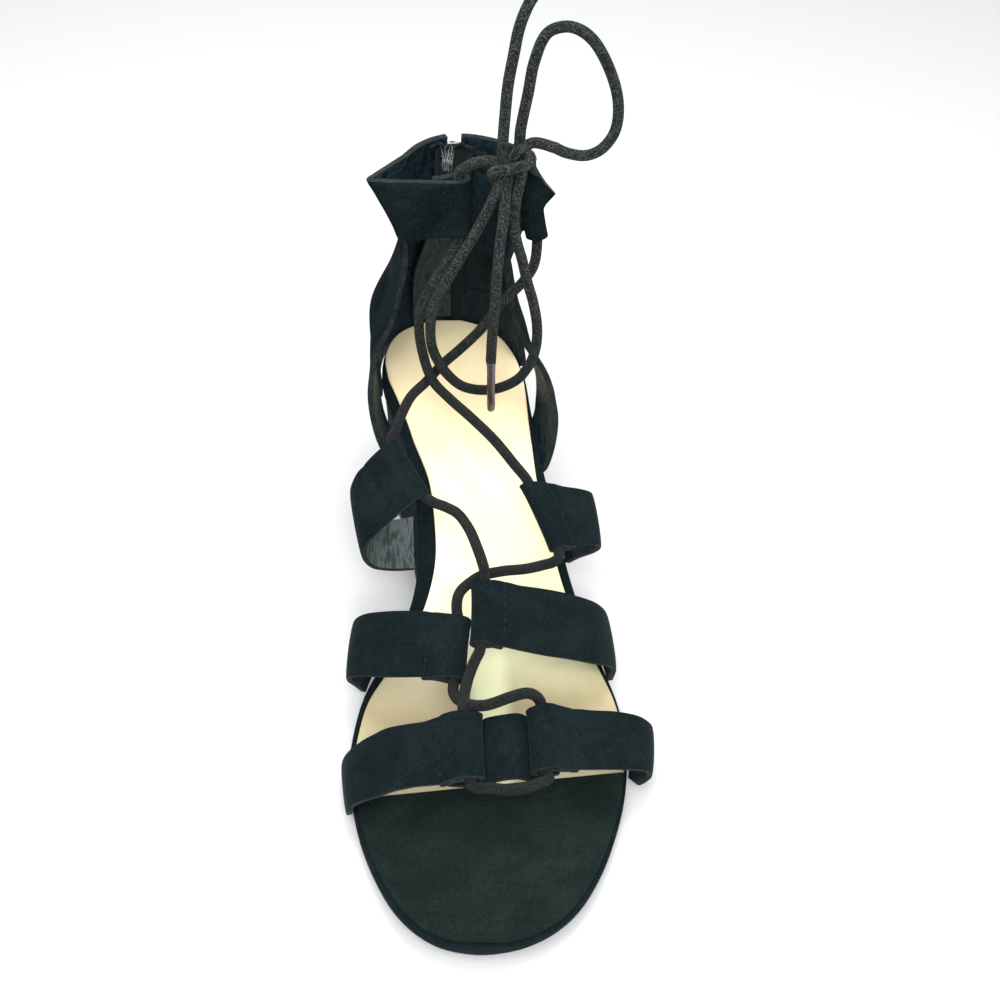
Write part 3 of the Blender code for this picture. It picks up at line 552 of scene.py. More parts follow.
class Workshop:
    """Operators that make, close, wall and finish a piece, and the report of what was made."""

    def __init__(self) -> None:
        """Make every finish once."""
        self.suede = Suede("black_suede").material()
        self.toe_suede = Suede("toe_cover_suede", dark=(0.0036, 0.0076, 0.0070),
                               light=(0.0115, 0.0190, 0.0170), clouds=24.0, clouding=0.75).material()
        self.wrap = Suede("wrapped_suede", clouds=9.0, clouding=0.4).material()
        # A shaded copy of the black suede: almost no sheen, so the counter's sides look as dark as their
        # shade, and a paler light colour so the cuff stays as light.
        self.rear_suede = Suede("rear_suede", light=(0.0115, 0.0185, 0.0198), clouds=20.0, clouding=0.8,
                                sheen=0.008).material()
        self.lining = Lining().material()
        # A paler copy of the black lining with paler vertical crease ridges: painted highlight standing in
        # for the gloss on the inner third strap's lining.
        self.lit_lining = Lining("lit_lining", (0.0095, 0.0165, 0.0170), (0.058, 0.078, 0.078),
                                  (1.0, 0.16, 0.25), 1.7, 0.5).material()
        self.guard = Lining("guard_lining", (0.0040, 0.0115, 0.0145), (0.014, 0.033, 0.040),
                            (1.0, 1.0, 0.5), 4.0, 0.3).material()
        self.edge = CutEdge().material()
        self.sock = SockLeather().material()
        self.braid = Braid().material()
        self.thread = Thread().material()
        self.pale_thread = Thread("frayed_thread", (0.10, 0.125, 0.125), (0.34, 0.38, 0.38)).material()
        self.rubber = Rubber().material()
        self.metal = Metal().material()
        self.tip = TipPlastic().material()
        self.tape = WovenTape().material()
        self.made: list[str] = []

    @staticmethod
    def clear() -> None:
        """Deselect everything, the CAD nodes included."""
        if bpy.context.object and bpy.context.object.mode != 'OBJECT':
            bpy.ops.object.mode_set(mode='OBJECT')
        bpy.ops.object.select_all(action='DESELECT')

    @classmethod
    def pick(cls, *pieces: Object) -> None:
        """Select these pieces alone, the first one active."""
        cls.clear()
        for piece in pieces:
            piece.select_set(True)
        bpy.context.view_layer.objects.active = pieces[0]

    @classmethod
    def edit(cls, piece: Object, *steps: tuple[Callable, dict]) -> None:
        """Run mesh operators on the whole of a piece in edit mode."""
        cls.pick(piece)
        bpy.ops.object.mode_set(mode='EDIT')
        bpy.ops.mesh.select_all(action='SELECT')
        for step, settings in steps:
            step(**settings)
        bpy.ops.object.mode_set(mode='OBJECT')

    @classmethod
    def modify(cls, piece: Object, kind: str, **settings: object) -> None:
        """Add a modifier, set it and apply it."""
        cls.pick(piece)
        bpy.ops.object.modifier_add(type=kind)
        modifier = piece.modifiers[-1]
        for key, value in settings.items():
            setattr(modifier, key, value)
        bpy.ops.object.modifier_apply(modifier=modifier.name)

    @classmethod
    def grid(cls, name: str, points: np.ndarray) -> Object:
        """A grid primitive laid through points.

        Args:
            name: The piece's name.
            points: Millimetres, by row along the piece and then by column across it.

        Returns:
            The piece, with a map from 0 to 1 across and along.
        """
        cls.clear()
        rows, columns = points.shape[:2]
        bpy.ops.mesh.primitive_grid_add(x_subdivisions=columns - 1, y_subdivisions=rows - 1, size=1.0)
        piece = bpy.context.object
        piece.name = piece.data.name = name
        piece.data.vertices.foreach_set("co", place(points).astype(np.float32).ravel())
        piece.data.update()
        return piece

    @classmethod
    def facing(cls, name: str, points: np.ndarray, inside: Row, row: Optional[int] = None,
               column: int = 0) -> Object:
        """A grid whose faces point away from a place inside, judged at one of its cells."""
        row = points.shape[0] // 2 if row is None else row
        corner = points[row, column]
        normal = np.cross(points[row, column + 1] - corner, points[row + 1, column] - corner)
        if float(np.dot(normal, corner - np.asarray(inside, float))) < 0:
            points = points[:, ::-1]
        return cls.grid(name, points)

    @classmethod
    def close(cls, piece: Object) -> Object:
        """Merge a rolled grid's seam, fill its two ends and turn its faces outward."""
        cls.edit(piece, (bpy.ops.mesh.remove_doubles, {"threshold": SEAM_MERGE}),
                 (bpy.ops.mesh.fill_holes, {"sides": 0}),
                 (bpy.ops.mesh.normals_make_consistent, {"inside": False}))
        return piece

    @classmethod
    def loft(cls, name: str, rings: np.ndarray) -> Object:
        """A closed solid through rings of equally many points."""
        return cls.close(cls.grid(name, np.concatenate([rings, rings[:, :1]], axis=1)))

    @classmethod
    def tube(cls, name: str, route: np.ndarray, radii: np.ndarray, sides: int = 14,
             plait: float = 9.0) -> Object:
        """A round cord along a route.

        Args:
            name: The piece's name.
            route: The centre line in millimetres.
            radii: The radius at each point of it.
            sides: Points round it.
            plait: Length of one turn of the braid, for the map's u.

        Returns:
            The closed tube, mapped with u in plait lengths and v once round.
        """
        tangents = unit(np.gradient(route, axis=0))
        normals = [unit(np.cross(tangents[0], (0.31, 0.17, 0.93)))]
        for after in tangents[1:]:
            turned = normals[-1] - after * np.dot(normals[-1], after)
            normals.append(turned / max(np.linalg.norm(turned), 1e-9))
        normals = np.array(normals)
        sideways = np.cross(tangents, normals)
        angles = np.linspace(0, 2 * math.pi, sides + 1)[None, :, None]
        ring = np.cos(angles) * normals[:, None] + np.sin(angles) * sideways[:, None]
        piece = cls.grid(name, route[:, None] + ring * radii[:, None, None])
        layer = piece.data.uv_layers.active.data
        flat = np.empty(len(layer) * 2, np.float32)
        layer.foreach_get("uv", flat)
        flat = flat.reshape(-1, 2)
        layer.foreach_set("uv", np.stack([flat[:, 1] * length_of(route) / plait, flat[:, 0]], axis=1).ravel())
        return cls.close(piece)

    @classmethod
    def join(cls, name: str, pieces: Sequence[Object], merge: float = 0.0) -> Object:
        """Join pieces into one mesh, and merge what meets within merge metres."""
        cls.pick(*pieces)
        if len(pieces) > 1:
            bpy.ops.object.join()
        piece = bpy.context.object
        piece.name = piece.data.name = name
        if merge:
            cls.edit(piece, (bpy.ops.mesh.remove_doubles, {"threshold": merge}))
        return piece

    @classmethod
    def centre(cls, piece: Object) -> None:
        """Put a piece's place, turn and size into its mesh."""
        cls.pick(piece)
        bpy.ops.object.transform_apply(location=True, rotation=True, scale=True)

    def wall(self, piece: Object, thickness: float, outside: bpy.types.Material,
             lining: bpy.types.Material, round_over: float = 0.32) -> None:
        """Give a sheet its wall, half to each side, with its lining, its cut edge and softened corners.

        Args:
            piece: The sheet.
            thickness: The wall's thickness in millimetres.
            outside: The finish of its outer face.
            lining: The finish of its inner face.
            round_over: How far its corners are rounded, in millimetres.
        """
        for material in (outside, lining, self.edge):
            piece.data.materials.append(material)
        self.modify(piece, 'SOLIDIFY', thickness=thickness / 1000.0, offset=0.0, use_even_offset=True,
                    material_offset=Layer.LINING.value, material_offset_rim=Layer.EDGE.value)
        self.modify(piece, 'BEVEL', width=round_over / 1000.0, segments=2, limit_method='ANGLE',
                    angle_limit=math.radians(50), loop_slide=False, use_clamp_overlap=True)

    def cast(self, template: Object, name: str, places: Sequence[tuple[np.ndarray, np.ndarray]]) -> Object:
        """Copies of a small modelled shape, each with its own mesh, joined under one name.

        Args:
            template: The shape, modelled about the origin in metres; it is used up.
            name: The joined piece's name.
            places: For each copy its 3x3 turn (columns are its axes) and its place in millimetres.

        Returns:
            The joined piece.
        """
        mesh = template.data
        count = len(mesh.vertices)
        base = np.empty(count * 3, np.float32)
        mesh.vertices.foreach_get("co", base)
        base = base.reshape(-1, 3)
        self.pick(template)
        copies = [template]
        for _ in places[1:]:
            copy = template.copy()
            copy.data = mesh.copy()
            bpy.context.scene.collection.objects.link(copy)
            copies.append(copy)
        for copy, (turn, where) in zip(copies, places):
            moved = base @ np.asarray(turn).T + place(where)
            copy.data.vertices.foreach_set("co", moved.astype(np.float32).ravel())
            copy.data.update()
        return self.join(name, copies)

    def done(self, piece: Object, materials: Sequence[bpy.types.Material] = (),
             replaces: Sequence[str] = (), body: str = SHOE, smooth: float = 40.0) -> Object:
        """Finish a piece: its materials, shading, body and the CAD nodes that it stands for.

        Args:
            piece: The piece.
            materials: Its finishes, where it has none yet.
            replaces: The CAD nodes that it stands for.
            body: The body that carries it.
            smooth: The angle in degrees past which an edge stays sharp.

        Returns:
            The piece.
        """
        for material in materials:
            piece.data.materials.append(material)
        self.pick(piece)
        bpy.ops.object.shade_smooth_by_angle(angle=math.radians(smooth))
        if replaces:
            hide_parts(*replaces)
        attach(piece, body)
        self.made.append(piece.name)
        log.info("%s: %d faces", piece.name, len(piece.data.polygons))
        return piece


# ---------------- the sole


@dataclass
class Last:
    """The footbed's outline and profile, which the sole's layers and the counter share."""

    toe_y: float = 3.0
    heel_y: float = 239.5
    ball: tuple[float, float] = (60.0, 6.4)
    profile: tuple = (  # y, height of the footbed
        (0, 10.3), (15, 9.0), (35, 7.4), (60, 6.4), (85, 6.6), (105, 9.2), (125, 16.4), (145, 26.2),
        (165, 36.4), (185, 45.2), (205, 51.6), (225, 55.4), (243, 57.4))
    outline: tuple = (  # y, inner side x, outer side x of the board
        (3, -0.8, -0.8), (5.2, -13.0, 12.0), (14.3, -23.9, 25.7), (27, -30.6, 34.8), (40, -34.9, 41.0),
        (54, -37.5, 46.0), (68, -38.6, 49.0), (80, -37.3, 50.1), (92, -34.7, 49.2), (101, -31.0, 47.2),
        (114, -23.6, 43.2), (127.5, -17.8, 39.3), (140.5, -15.2, 36.0), (155, -15.4, 33.6),
        (168, -16.4, 30.6), (182, -19.6, 28.3), (196, -24.8, 26.7), (202.5, -26.6, 26.2),
        (209, -27.5, 25.5), (221, -26.3, 22.3), (231, -21.5, 16.5), (237, -13.0, 8.5), (239.5, -2.2, -2.2))
    rim: tuple = (  # y, width of the bare rim beside the sock, inner and outer side
        (40, 1.5, 1.3), (88, 2.0, 1.1), (104, 3.4, 1.8), (127, 4.9, 3.3), (145, 6.0, 3.5),
        (165, 5.4, 3.6), (180, 3.2, 2.4), (190, 3.5, 1.8), (199, 3.6, 1.2),
        (208, 2.3, 1.0), (218, 0.8, 0.8), (240, 0.5, 0.5))
    ground: tuple = (  # y, how far the underside stands out past the board, inner and outer side
        (0, -1.4, -1.4), (60, -0.9, -0.9), (100, -0.8, -0.8), (125, -0.6, -0.6), (148, -0.4, -0.4),
        (172, 0.2, -0.6), (198, -2.0, -1.4), (225, -2.6, -2.6), (240, -3.4, -3.4))

    def __post_init__(self) -> None:
        """Key the outline by angle, so that its ends come out round."""
        self.turned = tuple((self.turn(y), inner, outer) for y, inner, outer in self.outline)

    def height(self, y: float) -> float:
        """Height of the footbed's top."""
        return float(smooth_row(self.profile, y)[0])

    def floor(self, y: float) -> float:
        """Height of the sole's underside, sprung up ahead of the ball."""
        return max(self.height(y) - self.ball[1], 0.0) if y < self.ball[0] else 0.0

    def turn(self, y: float) -> float:
        """The outline angle of y."""
        return math.acos(min(max(1 - 2 * (y - self.toe_y) / (self.heel_y - self.toe_y), -1), 1))

    def at(self, angle: float, side: int) -> np.ndarray:
        """The board's edge (x, y) at an outline angle, inner side 0 or outer side 1."""
        y = self.toe_y + (self.heel_y - self.toe_y) * (1 - math.cos(angle)) / 2
        return np.array([smooth_row(self.turned, angle)[side], y])

    def edge(self, angle: float, side: int, out: float = 0.0) -> np.ndarray:
        """The board's edge moved outward, square to the outline."""
        here = self.at(angle, side)
        run = self.at(min(angle + 0.02, math.pi), side) - self.at(max(angle - 0.02, 0), side)
        sign = 1 if side else -1
        return here + sign * out * np.array([run[1], -run[0]]) / np.linalg.norm(run)

    def beside(self, table: Sequence[Row], angle: float, side: int) -> float:
        """A two-sided table's value at an outline angle."""
        return float(smooth_row(table, self.at(angle, side)[1])[side])

    def angles(self, start: float, end: float, count: int) -> np.ndarray:
        """Outline angles from one y to another."""
        return np.linspace(self.turn(start), self.turn(end), count + 1)


@dataclass
class Sole:
    """Outsole, wedge, board, sock and toe cover."""

    last: Last
    outsole: float = 2.4
    board: float = 2.6
    sock: float = 0.8
    gap: float = 0.3
    wedge_y: float = 98.0
    cover_y: tuple[float, float] = (54.0, 64.0)
    wrapped_rim: tuple = (  # inward, down
        (1.6, 0.0), (0.8, 0.0), (0.35, -0.06), (0.08, -0.3), (0.0, -0.7), (0.0, -1.9), (0.08, -2.3),
        (0.35, -2.54), (0.9, -2.6))
    rounded_edge: tuple = (  # inward, most share across, down
        (0.0, 0.0, 0.32), (0.12, 0.2, 0.12), (0.4, 0.3, 0.02))

    def underside(self, y: float) -> float:
        """Height of the board's underside."""
        return self.last.height(y) - self.sock - self.gap - self.board

    def taper(self, angle: float) -> float:
        """How much of an edge's profile fits where the two sides close in on each other."""
        return min(1.0, float(self.last.at(angle, 1)[0] - self.last.at(angle, 0)[0]) / 8.0)

    @staticmethod
    def layer(shop: Workshop, name: str, angles: np.ndarray, column: Callable[[float, int], list],
              slot: str, finish: bpy.types.Material, node: str) -> None:
        """Build a closed layer.

        Args:
            shop: The workshop.
            name: The piece's name.
            angles: The outline angles of its rings.
            column: One side's points at an outline angle, from top to foot; side 0 is the inner one.
            slot: Its material slot; not used.
            finish: Its finish.
            node: The CAD node that it stands for.
        """
        rings = np.array([column(angle, 1) + column(angle, 0)[::-1] for angle in angles])
        shop.done(shop.loft(name, rings), [finish], [node])

    def make_outsole(self, shop: Workshop) -> None:
        """The rubber outsole with a rounded foot and a fine line round its edge."""
        last = self.last

        def column(angle: float, side: int) -> list:
            """The edge, from its top to its tread."""
            covered = last.at(angle, 0)[1] > self.wedge_y
            x, y = last.edge(angle, side, last.beside(last.ground, angle, side))
            top = self.outsole if covered else self.underside(y) - self.gap
            low, inward = last.floor(y), (-1 if side else 1) * self.taper(angle)
            steps = ((1.2, top), (0.15, top), (0.0, top - 0.15), (0.0, low + 1.3), (0.22, low + 1.2),
                     (0.0, low + 1.1), (0.0, low + 0.6), (0.18, low + 0.2), (0.6, low), (2.4, low))
            return [(x + inward * step, y, z) for step, z in steps]

        angles = np.concatenate([last.angles(last.toe_y + 0.02, self.wedge_y, 80),
                                 last.angles(self.wedge_y + 0.4, last.heel_y - 0.02, 64)])
        self.layer(shop, "outsole_moulded", angles, column, "rubber", shop.rubber, "outsole")

    def make_wedge(self, shop: Workshop) -> None:
        """The wedge in its suede cover, drawn in between its edges."""
        last = self.last

        def column(angle: float, side: int) -> list:
            """The flank."""
            top_x, top_y = last.edge(angle, side, -0.7)
            low_x, low_y = last.edge(angle, side, last.beside(last.ground, angle, side))
            top, low = self.underside(top_y) - self.gap, self.outsole + self.gap
            inward = -1 if side else 1
            pull = min(1.2, (top - low) * 0.04)
            points = []
            for f in np.linspace(0, 1, 17):
                roll = 0.35 * (max(0.0, 1 - f * 12) ** 2 + max(0.0, 1 - (1 - f) * 12) ** 2)
                points.append((top_x + (low_x - top_x) * f + inward * (pull * math.sin(math.pi * f) + roll),
                               top_y + (low_y - top_y) * f, top + (low - top) * f))
            return points

        angles = last.angles(self.wedge_y + 0.9, last.heel_y - 0.4, 110)
        self.layer(shop, "wedge_cover", angles, column, "suede", shop.wrap, "wedge")

    def make_board(self, shop: Workshop) -> None:
        """The board, wrapped in suede round its rim."""
        last = self.last

        def column(angle: float, side: int) -> list:
            """The wrapped rim."""
            x, y = last.edge(angle, side)
            top = last.height(y) - self.sock - self.gap
            inward = (-1 if side else 1) * self.taper(angle)
            return [(x + inward * step, y, top + down) for step, down in self.wrapped_rim]

        angles = last.angles(last.toe_y + 0.02, last.heel_y - 0.02, 180)
        self.layer(shop, "footbed_board_wrapped", angles, column, "suede", shop.wrap, "footbed_board")

    def cover(self, name: str, starts: Sequence[float], ends: Sequence[float], count: int,
              relief: Callable[[float, float, float], float]) -> Object:
        """A thin cover on the board between two slanting lines.

        Args:
            name: The piece's name.
            starts: Outline angles of its front edge, inner and outer side.
            ends: Outline angles of its rear edge.
            count: Stations along it.
            relief: Height added at (x, y, share across).

        Returns:
            The closed cover.
        """
        last = self.last
        rings = []
        for i in range(count + 1):
            f = i / count
            f = 0.5 * (1 - math.cos(math.pi * f)) * 0.35 + f * 0.65
            inner, outer = (last.edge(a + (b - a) * f, side, -last.beside(last.rim, a + (b - a) * f, side))
                            for side, (a, b) in enumerate(zip(starts, ends)))
            width = np.linalg.norm(outer - inner)
            edge = [(min(inward / width, most), down) for inward, most, down in self.rounded_edge]
            across = (edge + [(share, 0.0) for share in np.linspace(0.03, 0.97, 27)]
                      + [(1 - share, down) for share, down in edge[::-1]])
            ring = []
            for share, down in across:
                x, y = inner + (outer - inner) * share
                ring.append((x, y, last.height(y) - down + relief(x, y, share)))
            for share in (1.0, 0.0):
                x, y = inner + (outer - inner) * share
                ring.append((x, y, last.height(y) - self.sock))
            rings.append(ring)
        return Workshop.loft(name, np.array(rings))

    def make_covers(self, shop: Workshop) -> None:
        """The tan sock and the suede toe cover, which meet under the toe strap."""
        last = self.last
        front = [last.turn(y) for y in self.cover_y]
        start = [last.turn(y + self.gap) for y in self.cover_y]
        toe, heel = last.turn(last.toe_y + 0.6), last.turn(last.heel_y - 0.6)

        def tread(x: float, y: float, share: float) -> float:
            """Faint dishes where the ball and the heel rest."""
            ball = bell(math.hypot((x - 4) / 1.2, y - 88), 0.0, 26.0)
            return -0.14 * ball - 0.12 * bell(math.hypot(x + 1, y - 216), 0.0, 16.0)

        def pillow(x: float, y: float, share: float) -> float:
            """The cover lies a little proud in the middle and dips to a pressed line inside its rim."""
            rim = min(share, 1 - share) * 70.0
            return 0.1 * smooth_step(rim, 1.0, 5.0) - 0.06 * bell(rim, 1.1, 0.5)

        top = self.cover("toe_cover_suede_top", [toe, toe], front, 90, pillow)
        shop.done(top, [shop.toe_suede], ["toe_cover"])
        sock = self.cover("sock_leather", start, [heel, heel], 170, tread)
        shop.done(sock, [shop.sock], ["sock"])

    def make(self, shop: Workshop) -> None:
        """Build every layer."""
        self.make_outsole(shop)
        self.make_wedge(shop)
        self.make_board(shop)
        self.make_covers(shop)


# ---------------- straps and stitches


def stitches(shop: Workshop, name: str, rows: Sequence[tuple[np.ndarray, np.ndarray]], pitch: float = 2.7,
             length: float = 1.9, thickness: float = 0.5) -> Object:
    """Rows of sewn stitches that lie a little sunk into the leather.

    Args:
        shop: The workshop.
        name: The piece's name.
        rows: Each row's points on the surface and the normals there, in millimetres.
        pitch: Distance from stitch to stitch.
        length: Length of one stitch.
        thickness: Width of the thread.

    Returns:
        All the stitches as one piece.
    """
    places = []
    for points, normals in rows:
        steps = walked(points)
        count = max(1, int((steps[-1] - length) / pitch) + 1)
        start = (steps[-1] - (count - 1) * pitch) / 2
        for i in range(count):
            s = start + i * pitch
            middle, *ends = (along(points, steps, s + d) for d in (0.0, -0.6, 0.6))
            out = unit(along(normals, steps, s))
            run = unit(ends[1] - ends[0])
            out = unit(out - run * np.dot(out, run))
            places.append((np.stack([np.cross(run, out), run, out], axis=1), middle + out * 0.02))
    shop.clear()
    bpy.ops.mesh.primitive_uv_sphere_add(segments=8, ring_count=6, radius=0.5)
    stitch = bpy.context.object
    stitch.scale = (thickness / 1000, length / 1000, thickness * 0.8 / 1000)
    shop.centre(stitch)
    return shop.cast(stitch, name, places)


@dataclass
class Strap:
    """A band from the sole that folds back under itself round the lace and is sewn down."""

    name: str
    node: tuple[str, ...]
    rows: tuple
    side: int
    seam: float = 11.2
    fold: float = 2.9
    wall: float = 1.8
    gap: float = 0.3
    columns: int = 17
    # Whether the strap's lining is the paler copy with the painted highlight.
    lit_lining: bool = False
    flap: Optional[float] = None
    notch: float = 0.0
    notch_rows: tuple[int, int] = (4, 18)
    crown: float = 0.32  # the band's rise at its middle
    groove: float = 0.42  # how deep the stitches draw in
    welt: float = 0.16  # the ridge beside them
    pucker: float = 0.10
    puckers: float = 7.5
    swell: float = 0.30  # the rise over the lace
    creases: tuple = ()  # share along, depth, width of soft troughs across the band

    def lanes(self, steps: int = 9) -> np.ndarray:
        """The band's middle surface, by row along it and column across it, from front to back edge."""
        table = [(i, *row) for i, row in enumerate(self.rows)]
        count = steps * (len(self.rows) - 1)
        ends = np.array([smooth_row(table, i / steps) for i in range(count + 1)])
        share = np.linspace(0, 1, self.columns)[None, :, None]
        return ends[:, None, :3] * (1 - share) + ends[:, None, 3:] * share

    def normals(self, points: np.ndarray) -> np.ndarray:
        """Outward normals of the band's surface."""
        return unit(np.cross(np.gradient(points, axis=1), np.gradient(points, axis=0))) * -self.side

    def shaped(self) -> tuple[np.ndarray, np.ndarray]:
        """The band with its crown, creases, tunnel and sewn line, and the distance from its folded end."""
        points = self.lanes()
        steps = np.linalg.norm(np.diff(points, axis=0), axis=2)
        gone = np.concatenate([np.zeros((1, points.shape[1])), np.cumsum(steps, axis=0)])
        back = gone[-1] - gone
        across = np.linspace(-1, 1, points.shape[1])[None, :]
        crown = self.crown * (1 - across**2) - 0.2 * np.abs(across) ** 6
        sewn = -self.groove * bell(back, self.seam, 0.9) + self.welt * bell(back, self.seam + 2.6, 1.6)
        pucker = self.pucker * bell(back, self.seam, 1.6) * np.cos(across * math.pi * self.puckers)
        tunnel = self.swell * bell(back, 4.0, 3.6)
        offset = crown * smooth_step(back, 0.0, 3.0) + sewn + pucker + tunnel
        share = gone / gone[-1]
        for place_along, depth, width in self.creases:
            lean = place_along + 0.02 * np.sin(across * 2.3)
            offset = offset + depth * bell(share, lean, width)
        return points + self.normals(points) * offset[..., None], back

    def hem(self, points: np.ndarray) -> np.ndarray:
        """The fold round the lace and the flap that returns under the band."""
        across = unit(points[-1, -1] - points[-1, 0]) * self.side
        close = self.wall + self.gap + SEWN_SLACK
        reach = self.seam if self.flap is None else self.flap
        lanes = []
        for k in range(points.shape[1]):
            lane = points[:, k]
            ahead = unit(lane[-1] - lane[-4])
            lanes.append(fold_back(lane, ahead, across, self.fold, close, reach, 0.6))
        hem = np.stack(lanes, axis=1)
        share = np.linspace(0, 1, hem.shape[1])
        for k, row in enumerate(hem):
            cut = self.notch * smooth_step(k, *self.notch_rows)
            hem[k] = along(row, share, cut + (1 - cut) * share).T
        return hem

    def tunnel(self) -> tuple[np.ndarray, np.ndarray]:
        """The lace's way through the fold: its ends at the front and the back edge."""
        points = self.lanes()
        across = unit(points[-1, -1] - points[-1, 0]) * self.side
        ends = []
        for k in (0, -1):
            ahead = unit(points[-1, k] - points[-4, k])
            ends.append(points[-1, k] + unit(np.cross(across, ahead)) * self.fold)
        return ends[0], ends[1]

    def seam_row(self, points: np.ndarray, back: np.ndarray,
                 distance: float) -> tuple[np.ndarray, np.ndarray]:
        """The sewn line across the band at a distance from its folded end, on its outer surface."""
        normals = self.normals(points)
        line, out = [], []
        for k in range(1, points.shape[1] - 1):
            order = np.argsort(back[:, k])
            line.append(along(points[order, k], back[order, k], distance))
            out.append(along(normals[order, k], back[order, k], distance))
        out = unit(np.array(out))
        return np.array(line) + out * (self.wall / 2), out

    def make(self, shop: Workshop) -> None:
        """Build the band and its stitches."""
        points, back = self.shaped()
        whole = np.concatenate([points, self.hem(points)])
        if self.side > 0:
            whole = whole[:, ::-1]
        piece = shop.grid(self.name, whole)
        shop.wall(piece, self.wall, shop.suede, shop.lit_lining if self.lit_lining else shop.lining)
        shop.done(piece, replaces=self.node)
        seam = stitches(shop, self.name + "_stitches", [self.seam_row(points, back, self.seam)])
        shop.done(seam, [shop.thread])


# ---------------- rear upper


@dataclass(frozen=True)
class Crease:
    """A soft trough or ridge between two places on the leather."""

    start: Row
    end: Row
    depth: float
    width: float

    def offset(self, points: np.ndarray) -> np.ndarray:
        """How far the crease lifts each point, less than nothing for a trough; it fades at both ends."""
        start = np.asarray(self.start, float)
        run = np.asarray(self.end, float) - start
        share = ((points - start) @ run) / float(run @ run)
        held = np.clip(share, 0.0, 1.0)
        away = np.linalg.norm(points - (start + held[:, None] * run), axis=1)
        fade = 0.35 + 0.65 * np.sin(math.pi * held)
        return self.depth * fade * np.exp(-((away / self.width) ** 2))


